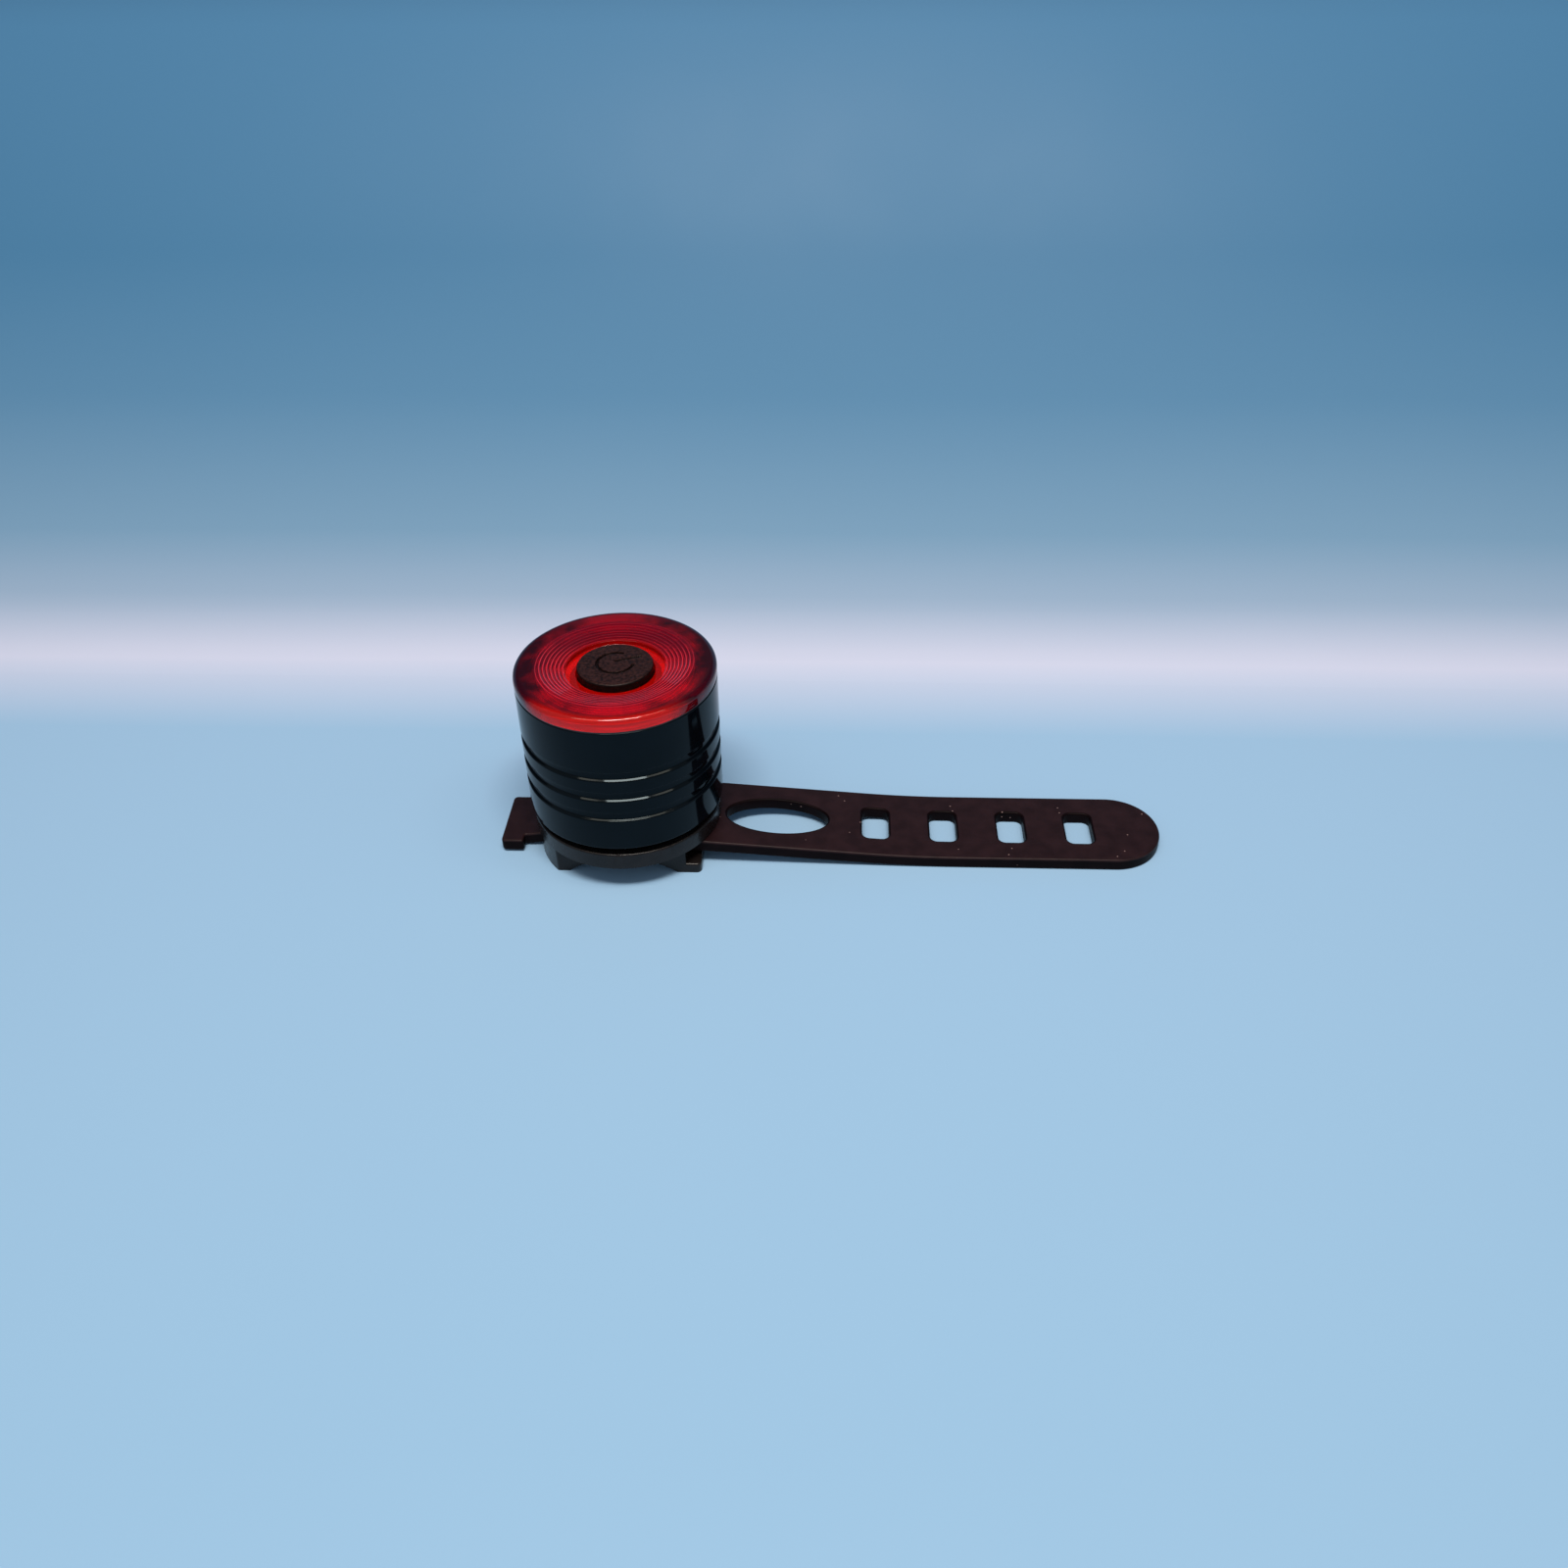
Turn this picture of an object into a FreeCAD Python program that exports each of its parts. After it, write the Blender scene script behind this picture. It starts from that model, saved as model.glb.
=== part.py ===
import FreeCAD, Part
import math
import os
import re
import Sketcher

# A small round bicycle rear light on a strap bracket, in millimetres.
# Z is the lamp's own axis and its beam points up. The floor is z = 0, where the bracket's feet
# stand. The strap's tail runs along +X, and the seatpost that the bracket clips to runs along Y.

# Driving dimensions. Each one is a plain number in the sheet called Sizes.
SIZES = {
    # bracket and the seatpost that it sits on
    "post_radius": 15.0,
    "saddle_crown": 2.7,
    "disc_radius": 14.8,
    "disc_thickness": 2.7,
    "disc_edge_round": 0.35,
    "bracket_depth": 20.0,
    "left_leg_radius": 14.4,
    "right_leg_reach": 9.9,
    "toe_reach": 12.3,
    "toe_height": 1.7,
    "toe_round": 0.8,
    "leg_corner_round": 0.5,
    "channel_clearance": 0.3,
    "channel_start": -6.4,
    "notch_clearance": 0.5,
    "notch_overlap": 2.0,
    # strap
    "strap_width": 15.6,
    "strap_thickness": 2.0,
    "strap_play": 0.1,
    "strap_tip": 84.9,
    "strap_tip_round": 7.7,
    "strap_flex_line": 16.6,
    "strap_end_round": 0.9,
    "strap_joint_gap": 0.2,
    "strap_dip_start": 11.0,
    "strap_dip_end": 45.0,
    "strap_dip_start_blend": 3.0,
    "strap_dip_end_blend": 7.0,
    "strap_rise_start": -16.0,
    "strap_rise_end": -2.0,
    "strap_rise_blend": 2.4,
    "strap_shoulder": -6.0,
    "neck_width": 8.2,
    "head_lift": 0.35,
    "head_end": -20.1,
    "head_inner": -16.6,
    "head_width": 11.4,
    "head_corner_round": 0.7,
    "window_start": 15.7,
    "window_end": 32.0,
    "window_width": 8.3,
    "hole_first": 39.6,
    "hole_pitch": 10.85,
    "hole_count": 4,
    "hole_length": 4.3,
    "hole_width": 7.4,
    "hole_corner": 1.2,
    # threaded base, its seal ring, its screws and the contact leaf in it
    "spigot_wall": 1.6,
    "spigot_height": 5.8,
    "spigot_floor": 2.0,
    "spigot_chamfer": 0.4,
    "thread_clearance": 0.1,
    "seal_gap": 1.45,
    "seal_section": 1.3,
    "seal_clearance": 0.25,
    "base_screw_circle": 6.5,
    "base_screw_count": 3,
    "base_screw_radius": 1.0,
    "base_screw_head_radius": 1.85,
    "base_screw_grip": 1.6,
    "base_screw_socket": 0.6,
    "base_screw_socket_depth": 0.8,
    "screw_clearance": 0.05,
    "leaf_length": 16.0,
    "leaf_width": 5.0,
    "leaf_foot": 2.8,
    "leaf_crest": 4.4,
    "leaf_thickness": 0.3,
    # barrel
    "barrel_wall": 2.0,
    "barrel_ledge": 1.0,
    "barrel_length": 21.3,
    "barrel_chamfer": 0.3,
    "barrel_thread_length": 4.6,
    "groove_first": 6.1,
    "groove_pitch": 3.7,
    "groove_count": 3,
    "groove_width": 1.6,
    "groove_floor": 1.1,
    "groove_depth": 0.45,
    # coin cells, whose radius sets the lamp's width, and their holder
    "cell_radius": 10.0,
    "cell_height": 3.2,
    "cell_side_gap": 0.5,
    "cell_cap_radius": 8.8,
    "cell_cap_step": 0.25,
    "cell_edge_chamfer": 0.3,
    "cell_clearance": 0.15,
    "cell_end_gap": 0.1,
    "cell_entry": 0.65,
    "holder_clearance": 0.3,
    "holder_web": 2.0,
    "holder_recess_inner": 3.6,
    "holder_recess_wall": 1.4,
    "holder_recess_depth": 1.4,
    "holder_contact_hole": 3.0,
    "contact_flange_radius": 2.6,
    "contact_flange_height": 0.3,
    "contact_pin_radius": 1.3,
    "contact_pin_chamfer": 0.3,
    "contact_gap": 0.05,
    "clip_width": 3.0,
    "clip_thickness": 0.25,
    "clip_slot_clearance": 0.2,
    "clip_inset": 0.2,
    # board with what is soldered and screwed to it
    "board_thickness": 1.2,
    "board_inset": 0.3,
    "board_screw_edge": 2.3,
    "board_screw_count": 3,
    "board_screw_radius": 0.8,
    "board_screw_head_radius": 1.5,
    "board_screw_head_height": 0.8,
    "board_screw_grip": 1.6,
    "led_edge": 4.0,
    "led_count": 6,
    "led_side": 2.2,
    "led_height": 1.2,
    "chip_length": 3.2,
    "chip_width": 3.2,
    "chip_height": 1.0,
    "chip_offset": 4.4,
    "switch_side": 6.0,
    "switch_height": 3.5,
    "switch_corner": 0.5,
    "plunger_radius": 1.75,
    "plunger_length": 1.8,
    "plunger_proud": 1.0,
    "plunger_clearance": 0.1,
    "switch_well_depth": 1.5,
    # reflector
    "reflector_height": 5.5,
    "reflector_switch_gap": 1.9,
    "reflector_pocket_radius": 1.75,
    "reflector_pocket_taper": 7.0,
    "reflector_head_room": 1.2,
    "reflector_head_clearance": 0.15,
    # lens
    "gasket_thickness": 0.2,
    "gasket_bore_gap": 0.15,
    "gasket_inset": 0.1,
    "lens_height": 2.15,
    "lens_edge_round": 0.8,
    "lens_plate": 2.9,
    "lens_skirt_depth": 2.2,
    "lens_skirt_wall": 1.2,
    "lens_skirt_clearance": 0.1,
    "lens_rim": 3.7,
    "dish_shelf": 1.55,
    "dish_depth": 0.9,
    "ridge_count": 7,
    "ridge_height": 0.12,
    "button_well_depth": 1.5,
    # button
    "button_radius": 5.75,
    "button_gap": 0.2,
    "button_proud": 1.2,
    "button_edge_round": 0.3,
    "button_flange_radius": 7.0,
    "button_flange_height": 0.7,
    "button_flange_gap": 0.1,
    "button_stem_radius": 2.0,
    # how far a cut runs past the material that it takes away
    "cut_margin": 1.0,
}

# Places that follow from the driving dimensions, as formulas in the sheet called Places.
PLACES = {
    "disc_bottom": "saddle_crown + strap_thickness",
    "disc_top": "disc_bottom + disc_thickness",
    "saddle_axis": "saddle_crown - post_radius",
    "leg_corner_x": "0 - sqrt(left_leg_radius ^ 2 - (bracket_depth / 2) ^ 2)",
    "channel_half": "strap_width / 2 + channel_clearance",
    "notch_half": "neck_width / 2 + notch_clearance",
    "strap_half": "strap_thickness / 2",
    "strap_channel_mid": "disc_bottom - strap_play - strap_half",
    "strap_head_mid": "head_lift + strap_half",
    "strap_dip_slope": "(strap_channel_mid - strap_half) / (strap_dip_end - strap_dip_start)",
    "strap_dip_half_turn": "(sqrt(1 + strap_dip_slope ^ 2) - 1) / strap_dip_slope",
    "strap_rise_slope": "(strap_channel_mid - strap_head_mid) / (strap_rise_end - strap_rise_start)",
    "strap_rise_half_turn": "(sqrt(1 + strap_rise_slope ^ 2) - 1) / strap_rise_slope",
    "anchor_end": "strap_flex_line + strap_half",
    "anchor_end_z": "strap_channel_mid - (anchor_end - strap_dip_start) * strap_dip_slope",
    "tail_start": "anchor_end + strap_joint_gap",
    "tail_start_z": "strap_channel_mid - (tail_start - strap_dip_start) * strap_dip_slope",
    "spigot_recess_radius": "cell_radius + cell_side_gap",
    "spigot_radius": "spigot_recess_radius + spigot_wall",
    "spigot_top": "disc_top + spigot_height",
    "spigot_floor_top": "disc_top + spigot_floor",
    "seal_radius": "seal_section / 2",
    "seal_circle": "spigot_radius + seal_clearance + seal_radius",
    "seal_z": "disc_top + seal_gap / 2",
    "base_screw_hole": "base_screw_radius + screw_clearance",
    "base_screw_sink": "base_screw_head_radius - base_screw_radius",
    "barrel_bottom": "disc_top + seal_gap",
    "barrel_top": "barrel_bottom + barrel_length",
    "barrel_shoulder": "barrel_bottom + barrel_thread_length",
    "barrel_thread_radius": "spigot_radius + thread_clearance",
    "barrel_bore_radius": "barrel_thread_radius + barrel_ledge",
    "barrel_radius": "barrel_bore_radius + barrel_wall",
    "groove_first_z": "barrel_bottom + groove_first",
    "holder_cup": "2 * cell_height + cell_end_gap - cell_entry",
    "board_bottom": "barrel_shoulder + holder_cup + holder_web",
    "cell_bottom": "barrel_shoulder - cell_entry",
    "cell_middle": "cell_bottom + cell_height",
    "cell_top": "cell_middle + cell_height",
    "holder_radius": "barrel_bore_radius - holder_clearance",
    "board_top": "board_bottom + board_thickness",
    "board_radius": "holder_radius - board_inset",
    "board_screw_circle": "holder_radius - board_screw_edge",
    "holder_recess_outer": "board_screw_circle - holder_recess_wall",
    "led_circle": "board_radius - led_edge",
    "clip_outer_x": "barrel_bore_radius - clip_inset",
    "clip_slot_floor": "clip_outer_x - clip_thickness - clip_slot_clearance",
    "board_screw_hole": "board_screw_radius + screw_clearance",
    "reflector_top": "board_top + reflector_height",
    "reflector_inner_radius": "switch_side / 2 + reflector_switch_gap",
    "switch_top": "board_top + switch_height",
    "plunger_top": "switch_top + plunger_proud",
    "gasket_inner_radius": "barrel_bore_radius + gasket_bore_gap",
    "lens_bottom": "barrel_top + gasket_thickness",
    "lens_top": "lens_bottom + lens_height",
    "lens_under": "lens_top - lens_plate",
    "lens_skirt_radius": "barrel_bore_radius - lens_skirt_clearance",
    "button_well_radius": "button_radius + button_gap",
    "dish_inner_radius": "button_well_radius + dish_shelf",
    "dish_outer_radius": "barrel_radius - lens_rim",
    "ridge_pitch": "(dish_outer_radius - dish_inner_radius) / ridge_count",
    "button_well_floor": "lens_top - button_well_depth",
    "button_top": "button_well_floor + button_proud",
    "button_flange_top": "lens_under - button_flange_gap",
}

HOME = {alias: "Sizes" for alias in SIZES} | {alias: "Places" for alias in PLACES}
ALIAS = re.compile(r"[a-z]\w*")

doc = FreeCAD.newDocument("bike_light")
nodes = []


def bound(text):
    """Write each alias in a formula as a reference to the sheet that holds it."""
    return ALIAS.sub(lambda found: sheet_name(found.group()), text)


def sheet_name(word):
    return f"{HOME[word]}.{word}" if word in HOME else word


def cell_value(word):
    """The number that a cell holds now, or the word itself where it is a function's name."""
    if word not in HOME:
        return word
    return repr(doc.getObject(HOME[word]).get(word))


def number(text):
    """Work a formula of aliases out to a plain number."""
    return FreeCAD.Units.Quantity(ALIAS.sub(lambda found: cell_value(found.group()), text)).Value


def fill_sheet(name, contents):
    sheet = doc.addObject("Spreadsheet::Sheet", name)
    for row, (alias, content) in enumerate(contents.items(), start=1):
        sheet.set(f"A{row}", alias)
        sheet.set(f"B{row}", content)
        sheet.setAlias(f"B{row}", alias)
    doc.recompute()


fill_sheet("Sizes", {alias: str(value) for alias, value in SIZES.items()})
fill_sheet("Places", {alias: "=" + bound(text) for alias, text in PLACES.items()})


# Sketches

def new_body(name):
    body = doc.addObject("PartDesign::Body", name)
    body.Label = name
    nodes.append(body)
    return body


def origin_feature(body, role):
    return next(item for item in body.Origin.OriginFeatures if item.Role == role)


def sketch_on(body, plane, height="0"):
    """A sketch on one of the body's own origin planes, raised along the plane's normal."""
    sketch = body.newObject("Sketcher::SketchObject", body.Name + "_sketch")
    sketch.AttachmentSupport = [(origin_feature(body, plane), "")]
    sketch.MapMode = "FlatFace"
    sketch.setExpression(".AttachmentOffset.Base.z", bound(height))
    return sketch


def pin_point(sketch, geometry, point, x, y):
    """Tie a point's two coordinates to formulas."""
    for kind, text in (("DistanceX", x), ("DistanceY", y)):
        index = sketch.addConstraint(Sketcher.Constraint(kind, -1, 1, geometry, point, number(text)))
        sketch.setExpression(f"Constraints[{index}]", bound(text))


def pin_radius(sketch, geometry, radius):
    index = sketch.addConstraint(Sketcher.Constraint("Radius", geometry, number(radius)))
    sketch.setExpression(f"Constraints[{index}]", bound(radius))


def vector(x, y):
    return FreeCAD.Vector(number(x), number(y), 0)


def draw_outline(sketch, corners):
    """A closed outline of straight edges through corners given as pairs of formulas."""
    first = sketch.GeometryCount
    count = len(corners)
    for index, corner in enumerate(corners):
        following = corners[(index + 1) % count]
        sketch.addGeometry(Part.LineSegment(vector(*corner), vector(*following)), False)
    for index, corner in enumerate(corners):
        following = first + (index + 1) % count
        sketch.addConstraint(Sketcher.Constraint("Coincident", first + index, 2, following, 1))
        pin_point(sketch, first + index, 1, *corner)


def round_corner(sketch, geometry, radius):
    """Put an arc at the start of an outline's edge, and keep the corner itself as a point."""
    arc = sketch.GeometryCount
    sketch.fillet(geometry, 1, number(radius), True, True)
    pin_radius(sketch, arc, radius)


def draw_rectangle(sketch, left, low, right, high):
    draw_outline(sketch, [(left, low), (right, low), (right, high), (left, high)])


def draw_circle(sketch, x, y, radius):
    circle = Part.Circle(vector(x, y), FreeCAD.Vector(0, 0, 1), number(radius))
    geometry = sketch.addGeometry(circle, False)
    pin_point(sketch, geometry, 3, x, y)
    pin_radius(sketch, geometry, radius)


def draw_rounded_rectangle(sketch, left, low, right, high, corner):
    """A rectangle whose corners are tangent arcs."""
    radius = number(corner)
    centres = [
        (f"{right} - {corner}", f"{high} - {corner}"),
        (f"{left} + {corner}", f"{high} - {corner}"),
        (f"{left} + {corner}", f"{low} + {corner}"),
        (f"{right} - {corner}", f"{low} + {corner}"),
    ]
    arcs = []
    for quarter, centre in enumerate(centres):
        circle = Part.Circle(vector(*centre), FreeCAD.Vector(0, 0, 1), radius)
        start = quarter * math.pi / 2
        arcs.append(sketch.addGeometry(Part.ArcOfCircle(circle, start, start + math.pi / 2), False))
    for index, arc in enumerate(arcs):
        following = arcs[(index + 1) % 4]
        line = Part.LineSegment(sketch.getPoint(arc, 2), sketch.getPoint(following, 1))
        side = sketch.addGeometry(line, False)
        sketch.addConstraint(Sketcher.Constraint("Tangent", arc, 2, side, 1))
        sketch.addConstraint(Sketcher.Constraint("Tangent", side, 2, following, 1))
    for arc, centre in zip(arcs, centres):
        pin_point(sketch, arc, 3, *centre)
        pin_radius(sketch, arc, corner)


def draw_oval(sketch, start, end, width):
    """An ellipse along X between two ends."""
    middle = f"({start} + {end}) / 2"
    reach = f"({end} - {start}) / 2"
    ellipse = Part.Ellipse(vector(end, "0"), vector(middle, f"{width} / 2"), vector(middle, "0"))
    geometry = sketch.addGeometry(ellipse, False)
    sketch.exposeInternalGeometry(geometry)
    pin_point(sketch, geometry, 3, middle, "0")
    for line, text in ((geometry + 1, reach), (geometry + 2, f"{width} / 2")):
        index = sketch.addConstraint(Sketcher.Constraint("Distance", line, 2 * number(text)))
        sketch.setExpression(f"Constraints[{index}]", bound(f"2 * {text}"))
    sketch.addConstraint(Sketcher.Constraint("Horizontal", geometry + 1))


def draw_axis(sketch, x):
    """An upright construction line to turn a profile about."""
    line = sketch.addGeometry(Part.LineSegment(vector(x, "0"), vector(x, "disc_top")), True)
    pin_point(sketch, line, 1, x, "0")
    pin_point(sketch, line, 2, x, "disc_top")


# Features

def shaped(feature, grows):
    """Recompute and make sure that a feature added or took away material."""
    doc.recompute()
    base = feature.BaseFeature.Shape.Volume if feature.BaseFeature else 0.0
    change = feature.Shape.Volume - base
    if (change if grows else -change) <= 1e-6:
        raise RuntimeError(f"{feature.Name} changed nothing")
    return feature


def revolve(body, sketch, axis="V_Axis"):
    turned = body.newObject("PartDesign::Revolution", body.Name + "_turned")
    turned.Profile = sketch
    turned.ReferenceAxis = (sketch, [axis])
    turned.Angle = 360
    return shaped(turned, grows=True)


def turn_away(body, sketch):
    groove = body.newObject("PartDesign::Groove", body.Name + "_groove")
    groove.Profile = sketch
    groove.ReferenceAxis = (sketch, ["V_Axis"])
    groove.Angle = 360
    return shaped(groove, grows=False)


def pad(body, sketch, length, both_ways=False):
    block = body.newObject("PartDesign::Pad", body.Name + "_pad")
    block.Profile = sketch
    block.setExpression("Length", bound(length))
    block.SideType = "Symmetric" if both_ways else "One side"
    return shaped(block, grows=True)


def pocket(body, sketch, depth, upward=False, both_ways=False, taper=None):
    """Cut a sketch into the body, down from its plane unless upward or both_ways says otherwise."""
    cut = body.newObject("PartDesign::Pocket", body.Name + "_pocket")
    cut.Profile = sketch
    cut.Reversed = upward
    cut.setExpression("Length", bound(depth))
    cut.SideType = "Symmetric" if both_ways else "One side"
    if taper:
        cut.setExpression("TaperAngle", bound(taper))
    return shaped(cut, grows=False)


def repeat_round(body, feature, count):
    pattern = body.newObject("PartDesign::PolarPattern", body.Name + "_ring")
    pattern.Originals = [feature]
    pattern.Axis = (origin_feature(body, "Z_Axis"), [""])
    pattern.Angle = 360
    pattern.setExpression("Occurrences", bound(count))
    body.Tip = pattern
    doc.recompute()
    return pattern


def repeat_along(body, feature, axis, pitch, count):
    pattern = body.newObject("PartDesign::LinearPattern", body.Name + "_row")
    pattern.Originals = [feature]
    pattern.Direction = (origin_feature(body, axis), [""])
    pattern.setExpression("Length", bound(f"{pitch} * ({count} - 1)"))
    pattern.setExpression("Occurrences", bound(count))
    body.Tip = pattern
    doc.recompute()
    return pattern


def dress(body, kind, size_name, size, test):
    """Fillet or chamfer the edges of the body's last feature that pass a test."""
    base = body.Tip
    names = [f"Edge{i}" for i, edge in enumerate(base.Shape.Edges, start=1) if test(edge)]
    if not names:
        raise RuntimeError(f"{body.Name} has no such edge")
    dressed = body.newObject(kind, body.Name + "_edge")
    dressed.Base = (base, names)
    dressed.setExpression(size_name, bound(size))
    doc.recompute()
    if dressed.Shape.isNull():
        raise RuntimeError(f"{dressed.Name} failed")
    return dressed


def fillet(body, radius, test):
    return dress(body, "PartDesign::Fillet", "Radius", radius, test)


def chamfer(body, size, test):
    return dress(body, "PartDesign::Chamfer", "Size", size, test)


def close(a, b):
    return abs(a - b) < 1e-4


def is_rim(z, radius):
    """A test for whole circles of one radius at one height."""
    def test(edge):
        curve = edge.Curve
        return (isinstance(curve, Part.Circle)
                and close(curve.Radius, radius) and close(curve.Center.z, z))
    return test


def is_post(x, y):
    """A test for straight upright edges at one place, either side of the X axis."""
    def test(edge):
        ends = [vertex.Point for vertex in edge.Vertexes]
        return (len(ends) == 2 and close(ends[0].y, ends[1].y)
                and all(close(end.x, x) and close(abs(end.y), y) for end in ends))
    return test


def is_bar(x, z):
    """A test for straight edges along Y at one place."""
    def test(edge):
        ends = [vertex.Point for vertex in edge.Vertexes]
        return (len(ends) == 2 and not close(ends[0].y, ends[1].y)
                and all(close(end.x, x) and close(end.z, z) for end in ends))
    return test


def turned_body(name, corners):
    """A body of revolution about Z from corners given as (radius, height)."""
    body = new_body(name)
    sketch = sketch_on(body, "XZ_Plane")
    draw_outline(sketch, corners)
    revolve(body, sketch)
    return body


# Bracket

def make_bracket():
    body = new_body("bracket")
    legs = sketch_on(body, "XY_Plane")
    half = "bracket_depth / 2"
    right = "right_leg_reach"
    corner = vector("leg_corner_x", half)
    far_right = vector(right, half)
    low_right = vector(right, "0 - " + half)
    low_left = vector("leg_corner_x", "0 - " + half)
    start = math.atan2(corner.y, corner.x)
    circle = Part.Circle(FreeCAD.Vector(0, 0, 0), FreeCAD.Vector(0, 0, 1), number("left_leg_radius"))
    arc = legs.addGeometry(Part.ArcOfCircle(circle, start, 2 * math.pi - start), False)
    lines = [
        legs.addGeometry(Part.LineSegment(*ends), False)
        for ends in ((low_left, low_right), (low_right, far_right), (far_right, corner))
    ]
    loop = [arc] + lines
    for index, piece in enumerate(loop):
        following = loop[(index + 1) % 4]
        legs.addConstraint(Sketcher.Constraint("Coincident", piece, 2, following, 1))
    legs.addConstraint(Sketcher.Constraint("Coincident", arc, 3, -1, 1))
    pin_point(legs, lines[1], 1, right, "0 - " + half)
    pin_point(legs, lines[1], 2, right, half)
    legs.addConstraint(Sketcher.Constraint("Horizontal", lines[0]))
    legs.addConstraint(Sketcher.Constraint("Horizontal", lines[2]))
    pin_radius(legs, arc, "left_leg_radius")
    pad(body, legs, "disc_bottom")

    toe = sketch_on(body, "XY_Plane")
    draw_rectangle(toe, right + " - cut_margin", "0 - " + half, "toe_reach", half)
    pad(body, toe, "toe_height")

    saddle = sketch_on(body, "XZ_Plane")
    draw_circle(saddle, "0", "saddle_axis", "post_radius")
    pocket(body, saddle, "2 * bracket_depth", both_ways=True)

    channel = sketch_on(body, "XY_Plane", "disc_bottom")
    channel_end = "toe_reach + cut_margin"
    draw_rectangle(channel, "channel_start", "0 - channel_half", channel_end, "channel_half")
    pocket(body, channel, "disc_bottom - toe_height")

    notch = sketch_on(body, "XY_Plane", "disc_bottom")
    notch_start = "0 - left_leg_radius - cut_margin"
    notch_end = "channel_start + notch_overlap"
    draw_rectangle(notch, notch_start, "0 - notch_half", notch_end, "notch_half")
    pocket(body, notch, "disc_bottom")

    fillet(body, "toe_round", is_post(number("toe_reach"), number(half)))
    fillet(body, "leg_corner_round", is_post(number("leg_corner_x"), number(half)))
    fillet(body, "toe_round / 2", is_bar(number("toe_reach"), number("toe_height")))

    disc = sketch_on(body, "XY_Plane", "disc_bottom")
    draw_circle(disc, "0", "0", "disc_radius")
    pad(body, disc, "disc_thickness")
    fillet(body, "disc_edge_round", is_rim(number("disc_top"), number("disc_radius")))

    holes = sketch_on(body, "XY_Plane", "disc_top")
    draw_circle(holes, "base_screw_circle", "0", "base_screw_hole")
    hole = pocket(body, holes, "disc_thickness")
    repeat_round(body, hole, "base_screw_count")
    chamfer(body, "base_screw_sink", is_rim(number("disc_bottom"), number("base_screw_hole")))


# Strap: one moulding on the real light, cut here at the line where its bending is modelled

def cut_window(body):
    window = sketch_on(body, "XY_Plane", "disc_bottom + strap_thickness")
    draw_oval(window, "window_start", "window_end", "window_width")
    pocket(body, window, "disc_bottom + 2 * strap_thickness")


def draw_strap_side(sketch, route):
    """The strap seen from the side, along a route of (x, middle height, rounding) corners.

    The rounding is the radius of the arc at that corner on the strap's top and bottom, or None.
    """
    top = [(x, f"{middle} + strap_half") for x, middle, rounding in route]
    bottom = [(x, f"{middle} - strap_half") for x, middle, rounding in route]
    draw_outline(sketch, top + bottom[::-1])
    for index, (x, middle, rounding) in enumerate(route):
        if rounding:
            round_corner(sketch, index, rounding)
            round_corner(sketch, 2 * len(route) - 1 - index, rounding)


def bend_radius(tangent, half_turn):
    """The radius of an arc that leaves its straight runs at this distance from their corner.

    The half turn is the tangent of half the angle between the runs.
    """
    return f"{tangent} / {half_turn}"


def make_strap_anchor():
    body = new_body("strap_anchor")
    side_view = sketch_on(body, "XZ_Plane")
    lower_rise = bend_radius("strap_rise_blend / 2", "strap_rise_half_turn")
    upper_rise = bend_radius("strap_rise_blend", "strap_rise_half_turn")
    upper_dip = bend_radius("strap_dip_start_blend", "strap_dip_half_turn")
    draw_strap_side(side_view, [
        ("head_end", "strap_head_mid", None),
        ("strap_rise_start", "strap_head_mid", lower_rise),
        ("strap_rise_end", "strap_channel_mid", upper_rise),
        ("strap_dip_start", "strap_channel_mid", upper_dip),
        ("anchor_end", "anchor_end_z", "strap_end_round"),
    ])
    pad(body, side_view, "strap_width", both_ways=True)
    beyond_side = "strap_width / 2 + cut_margin"
    beyond_end = "head_end - cut_margin"
    for sign in ("", "0 - "):
        waist = sketch_on(body, "XY_Plane", "disc_bottom + strap_thickness")
        draw_outline(waist, [
            (beyond_end, sign + "head_width / 2"),
            ("head_inner", sign + "head_width / 2"),
            ("head_inner", sign + "neck_width / 2"),
            ("strap_shoulder", sign + "neck_width / 2"),
            ("strap_shoulder", f"{sign}({beyond_side})"),
            (beyond_end, f"{sign}({beyond_side})"),
        ])
        pocket(body, waist, "disc_bottom + 2 * strap_thickness")
    cut_window(body)
    fillet(body, "head_corner_round", is_post(number("head_end"), number("head_width / 2")))
    fillet(body, "head_corner_round / 2", is_post(number("head_inner"), number("head_width / 2")))


def make_strap_tail():
    body = new_body("strap_tail")
    side_view = sketch_on(body, "XZ_Plane")
    lower_dip = bend_radius("strap_dip_end_blend", "strap_dip_half_turn")
    draw_strap_side(side_view, [
        ("tail_start", "tail_start_z", None),
        ("strap_dip_end", "strap_half", lower_dip),
        ("strap_tip", "strap_half", None),
    ])
    pad(body, side_view, "strap_width", both_ways=True)
    fillet(body, "strap_tip_round", is_post(number("strap_tip"), number("strap_width / 2")))
    cut_window(body)
    ladder = sketch_on(body, "XY_Plane", "disc_bottom")
    half = "hole_width / 2"
    draw_rounded_rectangle(
        ladder, "hole_first - hole_length / 2", "0 - " + half, "hole_first + hole_length / 2", half,
        "hole_corner")
    hole = pocket(body, ladder, "disc_bottom + strap_thickness")
    repeat_along(body, hole, "X_Axis", "hole_pitch", "hole_count")


# Threaded base in the bracket's disc

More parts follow.
